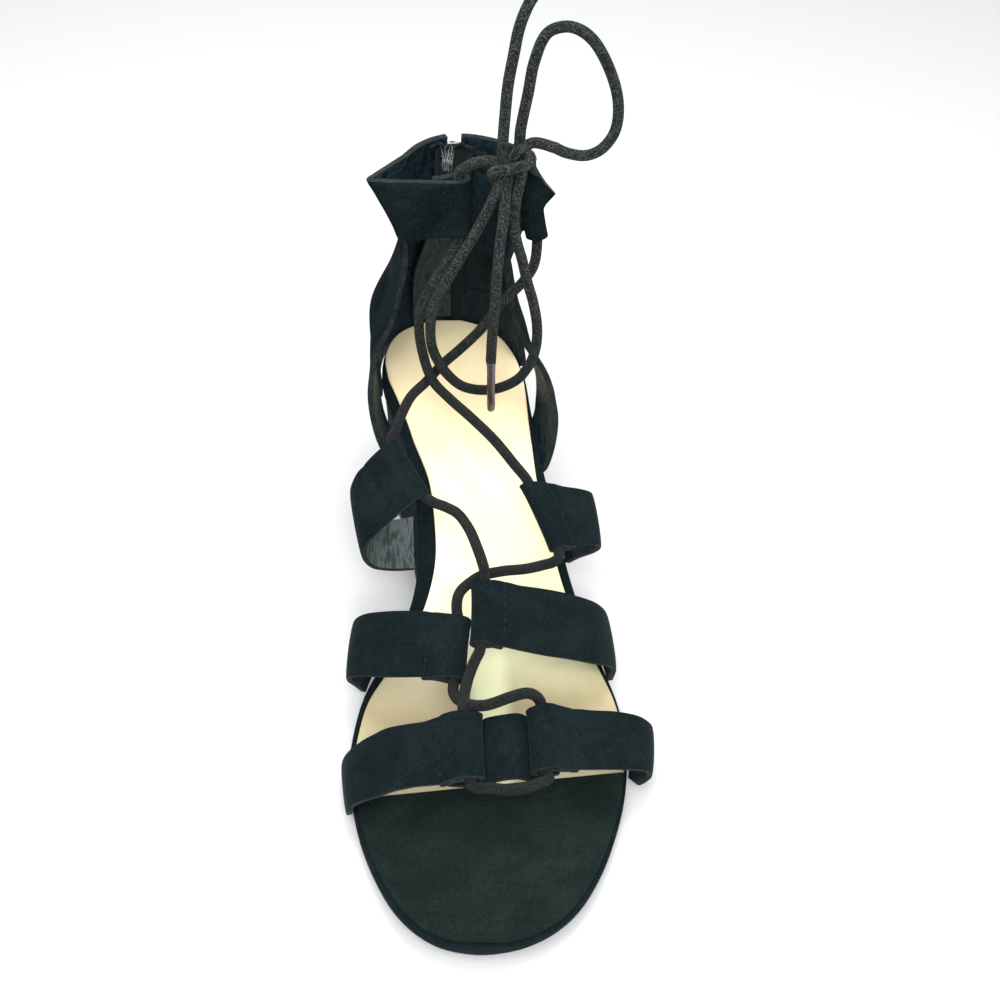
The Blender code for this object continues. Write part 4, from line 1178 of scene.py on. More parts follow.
@dataclass
class RearUpper:
    """Counter, quarter straps and collar in one wall, open behind where the zip runs."""

    last: Last
    wall: float = 2.0
    fold: float = 2.9
    gap: float = 0.3
    slot: float = 5.2
    collar: tuple[float, float] = (113.0, 138.0)
    bulge: float = 80.0
    under: float = 3.7  # how far the wall reaches below the footbed
    waist: float = 0.62  # share of the way from the bulge to the collar
    seam: float = 7.8
    stitching: float = 4.3
    zip_rows: tuple[float, float] = (0.19, 0.235)  # t of the two rows of stitches beside the zip
    zip_levels: tuple[float, float] = (1.25, 3.97)
    sewn: float = 0.22  # how deep the collar's sewn line lies
    welt: float = 0.18  # how far its upper edge swells
    fine: int = 6  # points per step of the collar's table
    spread: int = 18  # columns of a quarter strap
    counter: tuple = (  # t, rim y, then x, y at the bulge and at the collar's lower and upper edge
        (-1.0, 203.0, -30.3, 208.0, -19.9, 216.5, -20.5, 214.5),
        (-0.75, 215.0, -30.8, 217.0, -19.2, 219.6, -18.5, 218.0),
        (-0.5, 227.0, -26.5, 228.0, -17.0, 224.6, -15.5, 222.5),
        (-0.25, 236.0, -16.0, 237.2, -11.0, 230.0, -10.0, 227.4),
        (0.0, 239.5, -3.0, 240.9, -3.5, 232.0, -3.5, 229.6),
        (0.25, 236.5, 9.0, 237.0, 4.0, 230.4, 3.6, 228.8),
        (0.5, 230.5, 16.2, 229.8, 10.8, 226.4, 11.0, 225.4),
        (0.75, 224.0, 18.8, 224.4, 14.2, 222.3, 16.4, 221.2),
        (1.0, 217.0, 19.4, 218.8, 15.2, 218.0, 20.0, 216.6))
    collars: tuple = (  # step ahead of the counter, x, y at the lower and the upper edge, both edges' height
        ((0, -19.9, 216.5, -20.5, 214.5, 113, 138), (1, -21.2, 209.5, -25.6, 208.0, 113.3, 138),
         (2, -21.6, 204.4, -30.3, 202.0, 113.8, 138), (3, -20.2, 201.2, -32.1, 198.9, 114.7, 138),
         (4, -15.4, 200.5, -26.6, 197.9, 115.3, 138), (5, -11.2, 200.0, -17.6, 197.5, 116.2, 138),
         (6, -7.2, 199.5, -10.4, 197.1, 117, 138), (7, -3.0, 199.0, -3.8, 196.8, 117.2, 138)),
        ((0, 15.2, 218.0, 20.0, 216.6, 113, 138), (1, 15.4, 213.6, 24.6, 212.0, 113.6, 132),
         (2, 16.4, 209.4, 27.6, 207.6, 114.8, 130), (3, 20.0, 206.6, 28.2, 204.2, 116.2, 130.5),
         (4, 24.0, 204.0, 25.2, 201.6, 117, 134.5), (5, 25.9, 200.6, 21.4, 199.6, 117.2, 139)))
    quarters: tuple = (  # front edge and back edge, from the collar down
        ((-20.4, 198.8, 104.0, -21.7, 214.0, 103.5), (-22.4, 196.0, 94.5, -25.0, 212.6, 93.0),
         (-24.6, 193.0, 86.0, -27.8, 210.6, 83.5), (-30.2, 188.0, 75.5, -30.9, 204.5, 71.1),
         (-31.9, 182.6, 66.6, -30.9, 200.9, 62.6), (-30.9, 177.1, 57.6, -29.2, 197.3, 53.7),
         (-27.7, 171.5, 49.0, -27.9, 194.5, 47.6), (-21.6, 167.4, 41.0, -26.2, 190.5, 44.7),
         (-17.8, 165.0, 33.8, -24.7, 189.1, 43.5)),
        ((15.4, 205.6, 104.0, 16.2, 216.4, 103.5), (16.4, 203.2, 94.0, 17.6, 215.4, 93.5),
         (18.4, 201.0, 84.5, 20.0, 214.0, 83.0), (21.8, 197.1, 77.1, 23.2, 211.8, 74.5),
         (27.1, 191.7, 71.1, 26.1, 207.1, 65.3), (31.7, 185.9, 64.1, 29.3, 203.4, 58.1),
         (33.5, 179.3, 55.9, 29.8, 200.4, 53.1), (32.7, 174.2, 48.2, 29.5, 197.8, 49.6),
         (31.0, 172.3, 40.0, 28.5, 193.2, 46.6),
         (29.6, 172.6, 36.6, 27.6, 192.4, 43.0)))
    joined: tuple[int, int] = (3, 1)
    creases: tuple = (
        Crease((-31.5, 203, 76), (-24.0, 212, 97), -0.7, 3.2),
        Crease((-20.5, 199, 108), (-15.5, 219, 106), -0.6, 3.0),
        Crease((-20.0, 201, 117), (-22.0, 214, 113), 0.5, 3.0),
        Crease((17.0, 204, 103), (17.5, 216, 99), -0.7, 3.0),
        Crease((20.0, 201, 89), (20.0, 213, 92), -0.5, 2.6),
        Crease((24.0, 196, 76), (25.0, 209, 80), -0.7, 3.0),
        Crease((29.0, 190, 68), (30.0, 205, 64), 0.6, 3.4),
        Crease((33.0, 183, 60), (33.0, 200, 57), -0.7, 3.0),
        Crease((16.0, 209, 112), (22.0, 202, 118), -0.5, 2.6),
        Crease((-12.0, 199, 119), (-24.0, 199, 126), -0.5, 3.0),
        Crease((26.0, 203, 121), (24.0, 212, 131), -0.4, 3.2),
        Crease((-31.0, 184, 69), (-33.0, 200, 64), -0.6, 3.2),
        Crease((4.0, 237, 70), (16.0, 230, 88), -0.4, 4.0),
        Crease((-12.0, 237, 68), (-24.0, 230, 90), -0.4, 4.0))

    def counter_point(self, t: float, level: float, zip_side: int = 0) -> np.ndarray:
        """The wall's middle at a place round the heel.

        Args:
            t: -1 at the counter's inner end, 0 behind the heel and 1 at its outer end.
            level: 0 below the footbed, 1 at the rim, 2 at the bulge, 3 and 4 at the collar's two edges.
            zip_side: -1 or 1 for the edge on that side of the zip, 0 for neither.

        Returns:
            The point in millimetres.
        """
        rim_y, x1, y1, x2, y2, x3, y3 = smooth_row(self.counter, t)
        last, side = self.last, 1 if t > 0 else 0
        out = self.gap + self.wall / 2 + 0.35
        x0, y0 = last.edge(last.turn(min(rim_y, last.heel_y)), side, out)
        if abs(t) < 1e-6 or zip_side:
            x0, y0 = last.at(math.pi, 0)[0], last.heel_y + out
        rim = last.height(y0)
        waist = (x1 + (x2 - x1) * self.waist, (y1 + y2) / 2, (self.bulge + self.collar[0]) / 2)
        levels = ((0, x0, y0, rim - self.under), (1, x0, y0, rim + 1.5), (2, x1, y1, self.bulge),
                  (2.5, *waist), (3, x2, y2, self.collar[0]), (4, x3, y3, self.collar[1]))
        x, y, z = smooth_row(levels, level)
        return np.array([x + zip_side * (self.slot + self.wall) / 2 * 0.72, y - abs(zip_side) * 0.25, z])

    def collar_point(self, side: int, step: float, share: float) -> np.ndarray:
        """The collar ahead of the counter; share runs from its lower to its upper edge."""
        x2, y2, x3, y3, low, top = smooth_row(self.collars[side], step)
        return np.array([x2 + (x3 - x2) * share, y2 + (y3 - y2) * share, low + (top - low) * share])

    def folded(self, side: int) -> int:
        """The point of a collar lane at which its fold begins."""
        return self.fine * self.collars[side][-1][0]

    def levels(self) -> np.ndarray:
        """Counter levels up to the collar's top."""
        return np.concatenate([np.linspace(0, 1, 7)[:-1], np.linspace(1, 2, 10)[:-1],
                               np.linspace(2, 3, 10)[:-1], np.linspace(3, 4, 9)])

    def counter_columns(self, side: int) -> np.ndarray:
        """One half of the counter, column by column from its front edge to the zip."""
        sign = 1 if side else -1
        ts = list(np.linspace(1.0, 0.14, 23))
        columns = [[self.counter_point(sign * t, level) for level in self.levels()] for t in ts]
        columns.append([self.counter_point(sign * 1e-6, level, sign) for level in self.levels()])
        return np.array(columns)

    def collar_lanes(self, side: int) -> np.ndarray:
        """The collar and its fold round the lace, lane above lane."""
        steps = np.arange(self.folded(side) + 1)
        across = np.array([0.0, 0.0, -1.0 if side else 1.0])
        lanes = []
        for share in np.linspace(0, 1, 9):
            lane = np.array([self.collar_point(side, i / self.fine, share) for i in steps])
            met = self.counter_point(1.0 if side else -1.0, 3 + share) - lane[0]
            lane = lane + met * (1 - smooth_step(steps, 0, self.fine))[:, None]
            ahead = unit(lane[-1] - lane[-3])
            close = self.wall + self.gap + SEWN_SLACK
            hem = fold_back(lane, ahead, across, self.fold, close, self.seam, 0.4)
            lanes.append(np.concatenate([lane, hem]))
        return np.array(lanes)

    def quarter_rows(self, side: int) -> np.ndarray:
        """A quarter strap from the collar's lower edge down to the board."""
        sign = 1 if side else -1
        keyed = [(-1.0, *np.concatenate([self.collar_point(side, i / self.fine, 0.0)
                                         for i in range(self.spread + 1)]))]
        for k, row in enumerate(self.quarters[side]):
            front, back = np.array(row[:3]), np.array(row[3:])
            if k < self.joined[side]:
                back = self.counter_point(sign, 3 - (k + 1) / 3)
            keyed.append((float(k), *np.concatenate([back + (front - back) * i / self.spread
                                                     for i in range(self.spread + 1)])))
        rows = []
        for j in range(3 * len(self.quarters[side]) + 1):
            row = smooth_row(keyed, -1 + j / 3).reshape(-1, 3)
            if j <= 3 * self.joined[side]:
                row[0] = self.counter_point(sign, 3 - j / 9)
            rows.append(row)
        return np.array(rows)

    def tunnel(self, side: int) -> tuple[np.ndarray, np.ndarray]:
        """The lace's way up through the collar's fold: its lower and its upper end."""
        lanes, near = self.collar_lanes(side), self.folded(side)
        far = near + len(FOLD_ANGLES)
        return tuple((lane[near] + lane[far]) / 2 for lane in (lanes[0], lanes[-1]))

    def relief(self, piece: Object) -> None:
        """Lift the sheet along its normals by its creases, the collar's sewn line and its welt."""
        mesh = piece.data
        count = len(mesh.vertices)
        flat, out = np.empty(count * 3), np.empty(count * 3)
        mesh.vertices.foreach_get("co", flat)
        mesh.vertices.foreach_get("normal", out)
        points = flat.reshape(-1, 3) * 1000.0 + (CENTRE_X, CENTRE_Y, 0.0)
        lift = sum(crease.offset(points) for crease in self.creases)
        low, top = self.collar
        within = smooth_step(points[:, 2], low - 3.0, low + 1.0)
        lift = lift - self.sewn * bell(points[:, 2], low + 0.8, 0.7) * smooth_step(230 - points[:, 1], 0, 4)
        lift = lift + self.welt * bell(points[:, 2], top - 1.6, 1.4) * within
        flat = flat.reshape(-1, 3) + out.reshape(-1, 3) * lift[:, None] / 1000.0
        mesh.vertices.foreach_set("co", flat.ravel())
        mesh.update()

    def make(self, shop: Workshop) -> None:
        """Build the wall from its sheets and sew it."""
        parts, inside = [], (-3.0, 205.0, 95.0)
        strip = self.levels()[:16]
        left = np.array([self.counter_point(-1e-6, level, -1) for level in strip])
        right = np.array([self.counter_point(1e-6, level, 1) for level in strip])
        parts.append(shop.facing("rear_strip", np.array([left, right]), inside, 0, 5))
        for side in (0, 1):
            parts.append(shop.facing("rear_counter", self.counter_columns(side), inside, 12, 12))
            parts.append(shop.facing("rear_collar", self.collar_lanes(side), (0.0, 208.0, 125.0), 4, 4))
            parts.append(shop.facing("rear_quarter", self.quarter_rows(side), (0.0, 195.0, 60.0), 12, 8))
        piece = shop.join("rear_upper_leather", parts, SHEET_MERGE)
        shop.modify(piece, 'SUBSURF', levels=1, render_levels=1, boundary_smooth='PRESERVE_CORNERS')
        self.relief(piece)
        shop.wall(piece, self.wall, shop.rear_suede, shop.lining, 0.4)
        shop.done(piece, replaces=["rear_upper"])
        shop.done(stitches(shop, "rear_upper_stitches", self.seams()), [shop.thread])

    def seams(self) -> list[tuple[np.ndarray, np.ndarray]]:
        """Sewn rows: behind the lace's folds and along both sides of the zip."""
        rows = []
        for side in (0, 1):
            sign = -1 if side else 1
            line, out = [], []
            for lane in self.collar_lanes(side):
                home = lane[:self.folded(side) + 1][::-1]
                steps = walked(home)
                here, near = (along(home, steps, s) for s in (self.stitching, self.stitching + 0.6))
                away = -unit(np.cross((0, 0, sign), unit(here - near)))
                line.append(here + away * (self.wall / 2))
                out.append(away)
            rows.append((np.array(line), np.array(out)))
            sign = 1 if side else -1
            for t in self.zip_rows:
                levels = np.linspace(*self.zip_levels, 60)
                line = np.array([self.counter_point(sign * t, level) for level in levels])
                beside = np.array([self.counter_point(sign * (t + 0.02), level) for level in levels])
                away = unit(np.cross(np.gradient(line, axis=0), beside - line)) * -sign
                rows.append((line + away * (self.wall / 2), away))
        return rows


# ---------------- zip


@dataclass
class Zip:
    """Tape, coil, slider and pull at the back of the heel."""

    upper: RearUpper
    pull_y: float = 235.4
    pull_length: float = 14.0
    level: float = 3.66
    tape_half: float = 6.2
    tape_levels: tuple[float, float] = (1.08, 3.9)
    raw_ends: tuple = ((-5.6, 5.2, 2.4, -0.6), (2.4, 4.6, 2.2, 0.5))  # middle, width, height, lean
    frayed: tuple[float, float] = (-4.0, -0.6)
    threads: int = 17
    thread_foot: float = 126.0
    thread_tip: float = 133.0
    guard: tuple[float, float] = (-0.27, 0.03)
    guard_levels: tuple[float, float] = (1.06, 3.35)
    guard_inset: float = 3.4
    turns: int = 56
    coil_start: float = 2.06
    coil_rise: float = 1.76

    def make_tape(self, shop: Workshop) -> None:
        """The woven tape inside the slot, with its two raw ends standing above the collar."""
        lanes = []
        for level in np.linspace(*self.tape_levels, 60):
            x, y, z = self.upper.counter_point(0, level)
            y -= self.upper.wall / 2 + 0.5
            side = min(2.6, 0.9 + 0.8 * (level - 1))
            lanes.append([(x + self.tape_half * u, y - side * abs(u) ** 1.6 - 0.4, z)
                          for u in np.linspace(-1, 1, 15)])
        piece = shop.grid("zip_tape_woven", np.array(lanes))
        piece.data.materials.append(shop.tape)
        shop.modify(piece, 'SOLIDIFY', thickness=0.0008, offset=0.0, use_even_offset=True)
        ends = [piece]
        x, y, z = lanes[-1][7]
        for middle, width, height, lean in self.raw_ends:
            flap = []
            for i, rise in enumerate(np.linspace(0.0, 1.0, 9)):
                ragged = 0.7 * math.sin(i * 2.1 + middle)
                flap.append([
                    (x + middle + lean * rise + width * u * (1 - 0.35 * rise) + ragged * rise * abs(u),
                     y - 1.3 - 3.4 * rise**2, z - 0.4 + rise * (height + 0.9 * math.sin(5 * u + middle)))
                    for u in np.linspace(-0.5, 0.5, 9)])
            end = shop.grid("zip_tape_end", np.array(flap))
            end.data.materials.append(shop.tape)
            shop.modify(end, 'SOLIDIFY', thickness=0.0007, offset=0.0)
            ends.append(end)
        shop.done(shop.join("zip_tape_woven", ends), replaces=["zip_tape"])

    def make_fray(self, shop: Workshop) -> None:
        """Pale threads that fray from the tape between its two raw ends."""
        dice = np.random.default_rng(7)
        x, y, _ = self.upper.counter_point(0, 3.8)
        threads = []
        for foot in np.linspace(*self.frayed, self.threads):
            low = self.thread_foot + dice.uniform(0, 5)
            high = self.thread_tip + dice.uniform(0, 4.5)
            sway = dice.uniform(-0.7, 0.7, 3)
            route = smooth_route([(x + foot, y - 5.0, low),
                                  (x + foot + sway[0], y - 5.6, low * 0.6 + high * 0.4),
                                  (x + foot + sway[1], y - 5.8, low * 0.2 + high * 0.8),
                                  (x + foot + sway[1] + sway[2], y - 6.6, high)], 0.6)
            threads.append(shop.tube("fray", route, np.linspace(0.15, 0.08, len(route)), 5))
        shop.done(shop.join("zip_tape_frayed_threads", threads), [shop.pale_thread])

    def make_guard(self, shop: Workshop) -> None:
        """The soft strip that guards the heel from the zip, narrower toward the collar."""
        lanes = []
        for level in np.linspace(*self.guard_levels, 48):
            lane = []
            for t in np.linspace(self.guard[0] + 0.07 * smooth_step(level, 2.3, 3.1), self.guard[1], 15):
                point = self.upper.counter_point(t, level)
                lane.append(point + self.guard_inset * unit(np.array([-3.0, 200.0, point[2]]) - point))
            lanes.append(lane)
        piece = shop.facing("heel_guard_strip", np.array(lanes), (-3.0, 250.0, 80.0))
        shop.wall(piece, 1.2, shop.guard, shop.lining)
        shop.done(piece)

    def make_coil(self, shop: Workshop) -> None:
        """The coil's interlocked turns, one side after the other."""
        shop.clear()
        bpy.ops.mesh.primitive_cylinder_add(vertices=12, radius=0.42 / 1000, depth=2.9 / 1000)
        tooth = bpy.context.object
        shop.modify(tooth, 'BEVEL', width=0.00016, segments=2, limit_method='ANGLE')
        tooth.rotation_euler = (0.0, math.pi / 2, 0.0)
        shop.centre(tooth)
        places, run = [], np.array([1.0, 0.0, 0.0])
        for i in range(self.turns):
            level = self.coil_start + self.coil_rise * i / (self.turns - 1)
            here, ahead = (self.upper.counter_point(0, value) for value in (level, level + 0.01))
            rise = unit(ahead - here)
            side = 0.75 if i % 2 else -0.75
            out = np.cross(run, rise)
            places.append((np.stack([run, out, rise], axis=1), here + run * side - np.array([0.0, 0.1, 0.0])))
        shop.done(shop.cast(tooth, "zip_coil", places), [shop.metal], ["zip_teeth"])

    def box(self, shop: Workshop, low: Row, high: Row, corner: float, taper: float = 1.0) -> Object:
        """A metal block between two corners with rounded edges, narrower below by taper."""
        shop.clear()
        bpy.ops.mesh.primitive_cube_add(size=1.0)
        block = bpy.context.object
        low, high = np.asarray(low, float), np.asarray(high, float)
        unit_box = np.empty(24)
        block.data.vertices.foreach_get("co", unit_box)
        share = unit_box.reshape(-1, 3) + 0.5
        share[:, 0] = 0.5 + (share[:, 0] - 0.5) * (taper + (1 - taper) * share[:, 2])
        block.data.vertices.foreach_set("co", place(low + (high - low) * share).ravel())
        block.data.update()
        shop.modify(block, 'BEVEL', width=corner / 1000, segments=3, limit_method='ANGLE')
        return block

    @staticmethod
    def rod(shop: Workshop, middle: Row, radius: float, length: float, sides: int) -> Object:
        """A round rod that runs straight across the heel; its radius and length are in metres."""
        shop.clear()
        bpy.ops.mesh.primitive_cylinder_add(vertices=sides, radius=radius, depth=length)
        rod = bpy.context.object
        rod.rotation_euler = (0.0, math.pi / 2, 0.0)
        rod.location = Vector(place(middle))
        shop.centre(rod)
        return rod

    def make_slider(self, shop: Workshop) -> None:
        """The slider's two plates, its lug and the pull that swings from it."""
        x, y, z = self.upper.counter_point(0, self.level)
        outside, pivot = y + 1.3, z + 0.5
        plate = self.box(shop, (x - 3.7, outside, z - 4.4), (x + 3.7, outside + 1.1, z + 4.4), 0.5, 0.8)
        rim = self.box(shop, (x - 3.3, outside + 0.6, z - 4.0), (x + 3.3, outside + 1.7, z + 3.9), 0.5, 0.8)
        lug = self.box(shop, (x - 1.0, outside + 0.9, pivot - 2.0),
                       (x + 1.0, self.pull_y + 1.9, pivot + 2.0), 0.45)
        hole = self.rod(shop, (x, self.pull_y, pivot), 0.00125, 0.004, 24)
        shop.modify(lug, 'BOOLEAN', operation='DIFFERENCE', object=hole)
        bpy.data.objects.remove(hole)
        shop.done(shop.join("zip_slider_plates", [plate, rim, lug]), [shop.metal], ["zip_slider"])

        parts = [self.rod(shop, (x, self.pull_y, pivot), 0.0008, 0.0054, 20)]
        for side in (-1, 1):
            a, b = sorted((x + side * 1.4, x + side * 2.65))
            parts.append(self.box(shop, (a, self.pull_y - 0.62, pivot - 4.2),
                                  (b, self.pull_y + 0.62, pivot + 0.5), 0.3))
        parts.append(self.box(shop, (x - 3.1, self.pull_y - 0.6, pivot - self.pull_length),
                              (x + 3.1, self.pull_y + 0.6, pivot - 3.3), 0.4))
        shop.done(shop.join("zip_pull_tab", parts), [shop.metal], ["zip_pull"], body=PULL_TAB)

    def make(self, shop: Workshop) -> None:
        """Build the zip."""
        self.make_tape(shop)
        self.make_guard(shop)
        self.make_fray(shop)
        self.make_coil(shop)
        self.make_slider(shop)


# ---------------- lace


@dataclass
class Lace:
    """The round lace: its run through the folds, the bow's knot, two loops and two tails with aglets."""

    upper: RearUpper
    straps: dict[str, Strap]
    diameter: float = 3.5
    plait: float = 9.0
    root: float = 5.0  # how far inside a free length a wrap begins
    bar: tuple = ((-2.8, 46.0, 25.4), (-0.6, 44.8, 25.4), (3.0, 44.5, 25.6), (8.7, 43.9, 25.6),
                  (14.3, 45.0, 25.6), (18.4, 46.9, 25.4), (20.6, 48.6, 25.2))
    crossings: tuple = (
        (((-6.2, 80.1, 27.1), (-5.5, 76.8, 27.6), (-4.0, 72.5, 30.6), (-1.3, 69.0, 33.3),
          (3.1, 68.3, 34.2), (10.3, 70.1, 35.8), (15.3, 71.6, 35.8), (18.5, 72.1, 33.4),
          (19.9, 71.0, 31.0)),
         ((2.3, 89.4, 35.1), (0.7, 86.6, 33.5), (-1.3, 82.3, 31.5), (-2.8, 77.0, 30.7),
          (-3.4, 72.8, 30.6), (-3.8, 69.0, 31.5))),
        (((-4.2, 104.8, 36.3), (-4.1, 107.4, 38.3), (-3.0, 110.5, 39.2), (-0.3, 113.4, 39.8),
          (3.9, 115.8, 41.1), (11.5, 118.0, 41.2), (18.5, 119.4, 40.7), (24.5, 120.8, 41.1),
          (28.2, 121.6, 41.9), (29.8, 123.0, 43.2)),
         ((4.8, 112.5, 44.9), (4.1, 114.7, 47.6), (2.4, 120.1, 50.0), (0.2, 126.9, 51.5),
          (-3.1, 133.1, 52.4), (-6.9, 137.2, 51.8), (-11.1, 139.8, 51.7))),
        (((20.1, 144.3, 57.4), (16.3, 149.1, 59.8), (10.0, 157.8, 63.2), (2.1, 167.9, 65.5),
          (-4.8, 175.1, 67.9), (-10.5, 179.7, 72.2), (-14.1, 186.0, 80.3), (-15.3, 189.2, 89.6),
          (-14.1, 190.2, 97.0), (-10.4, 193.8, 102.6), (-5.9, 198.6, 108.4), (-2.6, 201.2, 114.8)),
         ((-24.6, 162.0, 61.2), (-23.3, 164.2, 62.5), (-21.0, 169.1, 66.1), (-17.7, 175.4, 68.6),
          (-12.6, 181.7, 69.8), (-6.7, 186.0, 74.4), (-1.0, 186.9, 80.0), (5.6, 188.4, 86.9),
          (13.5, 193.1, 95.9), (19.1, 195.5, 100.7), (23.2, 198.1, 106.4), (23.9, 200.7, 115.0))))
    ties: tuple = (
        ((-3.4, 199.6, 140.1), (-1.6, 198.4, 142.2), (1.4, 196.2, 145.2), (5.0, 194.3, 146.8)),
        ((19.6, 202.3, 142.2), (19.4, 200.4, 144.4), (18.0, 198.2, 146.0)))
    loop_low: tuple = (
        (7.2, 187.5, 138.2), (4.0, 186.4, 130.7), (-2.0, 184.3, 119.2), (-8.0, 182.2, 108.1),
        (-11.2, 180.9, 100.4), (-11.8, 180.3, 93.3), (-11.1, 180.0, 86.2), (-8.8, 180.0, 80.0),
        (-5.2, 179.5, 74.5), (-0.2, 179.2, 70.0), (6.4, 179.3, 68.2), (13.0, 179.7, 68.9),
        (19.0, 180.2, 72.3), (22.8, 180.9, 78.5), (24.2, 181.5, 85.1), (24.0, 182.4, 92.6),
        (22.1, 183.1, 101.3), (19.5, 184.4, 109.0), (17.3, 185.4, 116.7), (15.0, 186.3, 123.6),
        (13.8, 187.2, 131.0), (14.2, 187.9, 137.7))
    tail_low: tuple = (
        (10.7, 187.6, 139.2), (10.1, 183.0, 134.1), (9.2, 179.5, 125.4), (8.7, 177.2, 115.1),
        (8.6, 176.0, 105.2), (8.4, 174.8, 94.3), (8.6, 175.1, 83.5))
    aglet_low: tuple = ((8.7, 175.2, 83.2), (9.7, 173.1, 63.9))
    loop_high: tuple = (
        (14.6, 194.9, 152.5), (14.6, 194.9, 157.2), (16.1, 195.7, 168.8), (17.4, 197.9, 177.3),
        (20.7, 200.1, 185.0), (26.3, 201.0, 186.8), (32.0, 202.2, 184.6), (37.3, 203.4, 179.2),
        (42.8, 202.7, 169.5), (45.1, 200.9, 161.5), (44.6, 198.9, 154.4), (41.0, 197.6, 149.2),
        (36.0, 196.6, 147.4), (29.8, 195.8, 148.7), (25.6, 195.5, 150.7), (22.0, 195.7, 151.8))
    tail_high: tuple = (
        (9.0, 190.6, 151.9), (8.9, 190.4, 156.1), (9.0, 190.7, 165.1), (9.2, 190.5, 173.4),
        (10.2, 190.7, 182.2), (11.6, 191.4, 191.4), (14.8, 192.8, 198.8), (20.4, 195.0, 204.4),
        (27.6, 197.8, 207.2))
    aglet_high: tuple = ((28.35, 198.1, 207.2), (43.2, 204.8, 203.4))
    wraps: tuple = (
        ((19.4, 200.4, 144.4), (18.0, 198.2, 146.0), (15.7, 196.8, 147.2), (13.4, 195.0, 148.0),
         (12.2, 193.0, 148.4)),
        ((12.1, 195.0, 146.3), (14.8, 194.7, 148.2), (16.7, 193.6, 149.6), (18.0, 191.9, 149.4),
         (17.7, 189.8, 148.5), (15.4, 187.8, 148.4), (12.5, 186.6, 148.3), (9.4, 185.9, 147.9),
         (6.9, 186.4, 147.4), (6.0, 188.4, 145.2), (7.4, 190.2, 142.2)),
        ((22.0, 195.7, 151.8), (19.0, 194.5, 152.8), (16.6, 194.2, 152.0), (14.3, 192.1, 151.4),
         (12.6, 190.8, 150.2), (11.6, 190.9, 148.3)),
        ((14.6, 194.9, 152.5), (14.2, 193.9, 150.7), (14.0, 194.6, 147.9), (13.6, 193.6, 146.2)),
        ((1.4, 196.2, 145.2), (5.0, 194.3, 146.8), (7.3, 194.1, 146.6), (9.4, 193.0, 146.3),
         (11.5, 191.3, 145.9)),
        ((9.0, 190.6, 151.9), (9.5, 191.2, 148.3), (9.8, 190.3, 146.4), (10.6, 190.3, 144.0)),
        ((7.2, 187.5, 138.2), (8.2, 188.4, 140.6), (9.0, 189.0, 143.2), (9.6, 190.0, 145.2)),
        ((14.2, 187.9, 137.7), (14.8, 188.8, 140.5), (15.3, 189.2, 143.8), (15.6, 189.9, 146.3)),
        ((10.7, 187.6, 139.2), (11.0, 189.0, 141.2), (11.3, 189.9, 143.6), (11.6, 191.3, 145.2)))

    def tunnels(self) -> dict[str, tuple[np.ndarray, np.ndarray]]:
        """Each fold's axis from its front or lower end to its back or upper end."""
        found = {name: strap.tunnel() for name, strap in self.straps.items()}
        found["collar_inner"], found["collar_outer"] = self.upper.tunnel(0), self.upper.tunnel(1)
        return found

    def run(self) -> np.ndarray:
        """The whole run from the knot down the inner side, across the toe and back up to the knot."""
        axis = self.tunnels()

        def through(name: str, forward: bool) -> list[np.ndarray]:
            """Three points along a fold's axis, clear of its mouths."""
            low, high = axis[name]
            shares = (0.12, 0.5, 0.88) if forward else (0.88, 0.5, 0.12)
            return [low + (high - low) * share for share in shares]

        (a1, b1), (a2, b2), (a3, b3) = self.crossings
        parts = [self.ties[0][::-1], through("collar_inner", False), a3[::-1], through("third_outer", False),
                 a2[::-1], through("second_inner", False), a1, through("toe_outer", False), self.bar[::-1],
                 through("toe_inner", True), b1[::-1], through("second_outer", True), b2,
                 through("third_inner", True), b3, through("collar_outer", True), self.ties[1]]
        points = [np.asarray(point, float) for part in parts for point in part]
        kept = [points[0]]
        for point in points[1:]:
            if np.linalg.norm(point - kept[-1]) > 1.6:
                kept.append(point)
        return np.array(kept)

    def tube(self, shop: Workshop, name: str, route: Sequence[Row],
             spacing: float = 1.1) -> tuple[Object, np.ndarray]:
        """A length of the lace along a route, and the line that it follows."""
        line = smooth_route(route, spacing)
        radii = np.full(len(line), self.diameter / 2)
        piece = shop.tube(name, line, radii, 14, self.plait)
        piece.data.materials.append(shop.braid)
        return piece, line

    def rooted(self, wrap: Sequence[Row]) -> list[Row]:
        """The wrap, begun a little inside the free length that it carries on."""
        for route in (self.loop_low, self.loop_high, self.tail_low, self.tail_high):
            for ends in (route, route[::-1]):
                if tuple(wrap[0]) == tuple(ends[0]):
                    start = np.asarray(ends[0], float)
                    back = unit(np.asarray(ends[1], float) - start)
                    return [start + back * self.root, start + back * (self.root / 2), *wrap]
        return list(wrap)

    def declare(self) -> None:
        """Work out the lace's diameter in metres, and keep nothing of it."""
        self.diameter / 1000.0

    def make_aglet(self, shop: Workshop, name: str, ends: Sequence[Row], node: str) -> Object:
        """The hard sleeve at a tail's end, rolled at its mouth and pinched shut at its tip."""
        start, end = (np.asarray(point, float) for point in ends)
        shares = np.array([-0.02, 0.0, 0.03, 0.06, 0.12, 0.5, 0.86, 0.95, 0.985, 1.0])
        radii = np.array([1.2, 1.62, 1.66, 1.55, 1.46, 1.42, 1.40, 1.34, 1.1, 0.6])
        line = start + (end - start) * shares[:, None]
        piece = shop.tube(name, line, radii, 16)
        return shop.done(piece, [shop.tip], [node], smooth=50.0)

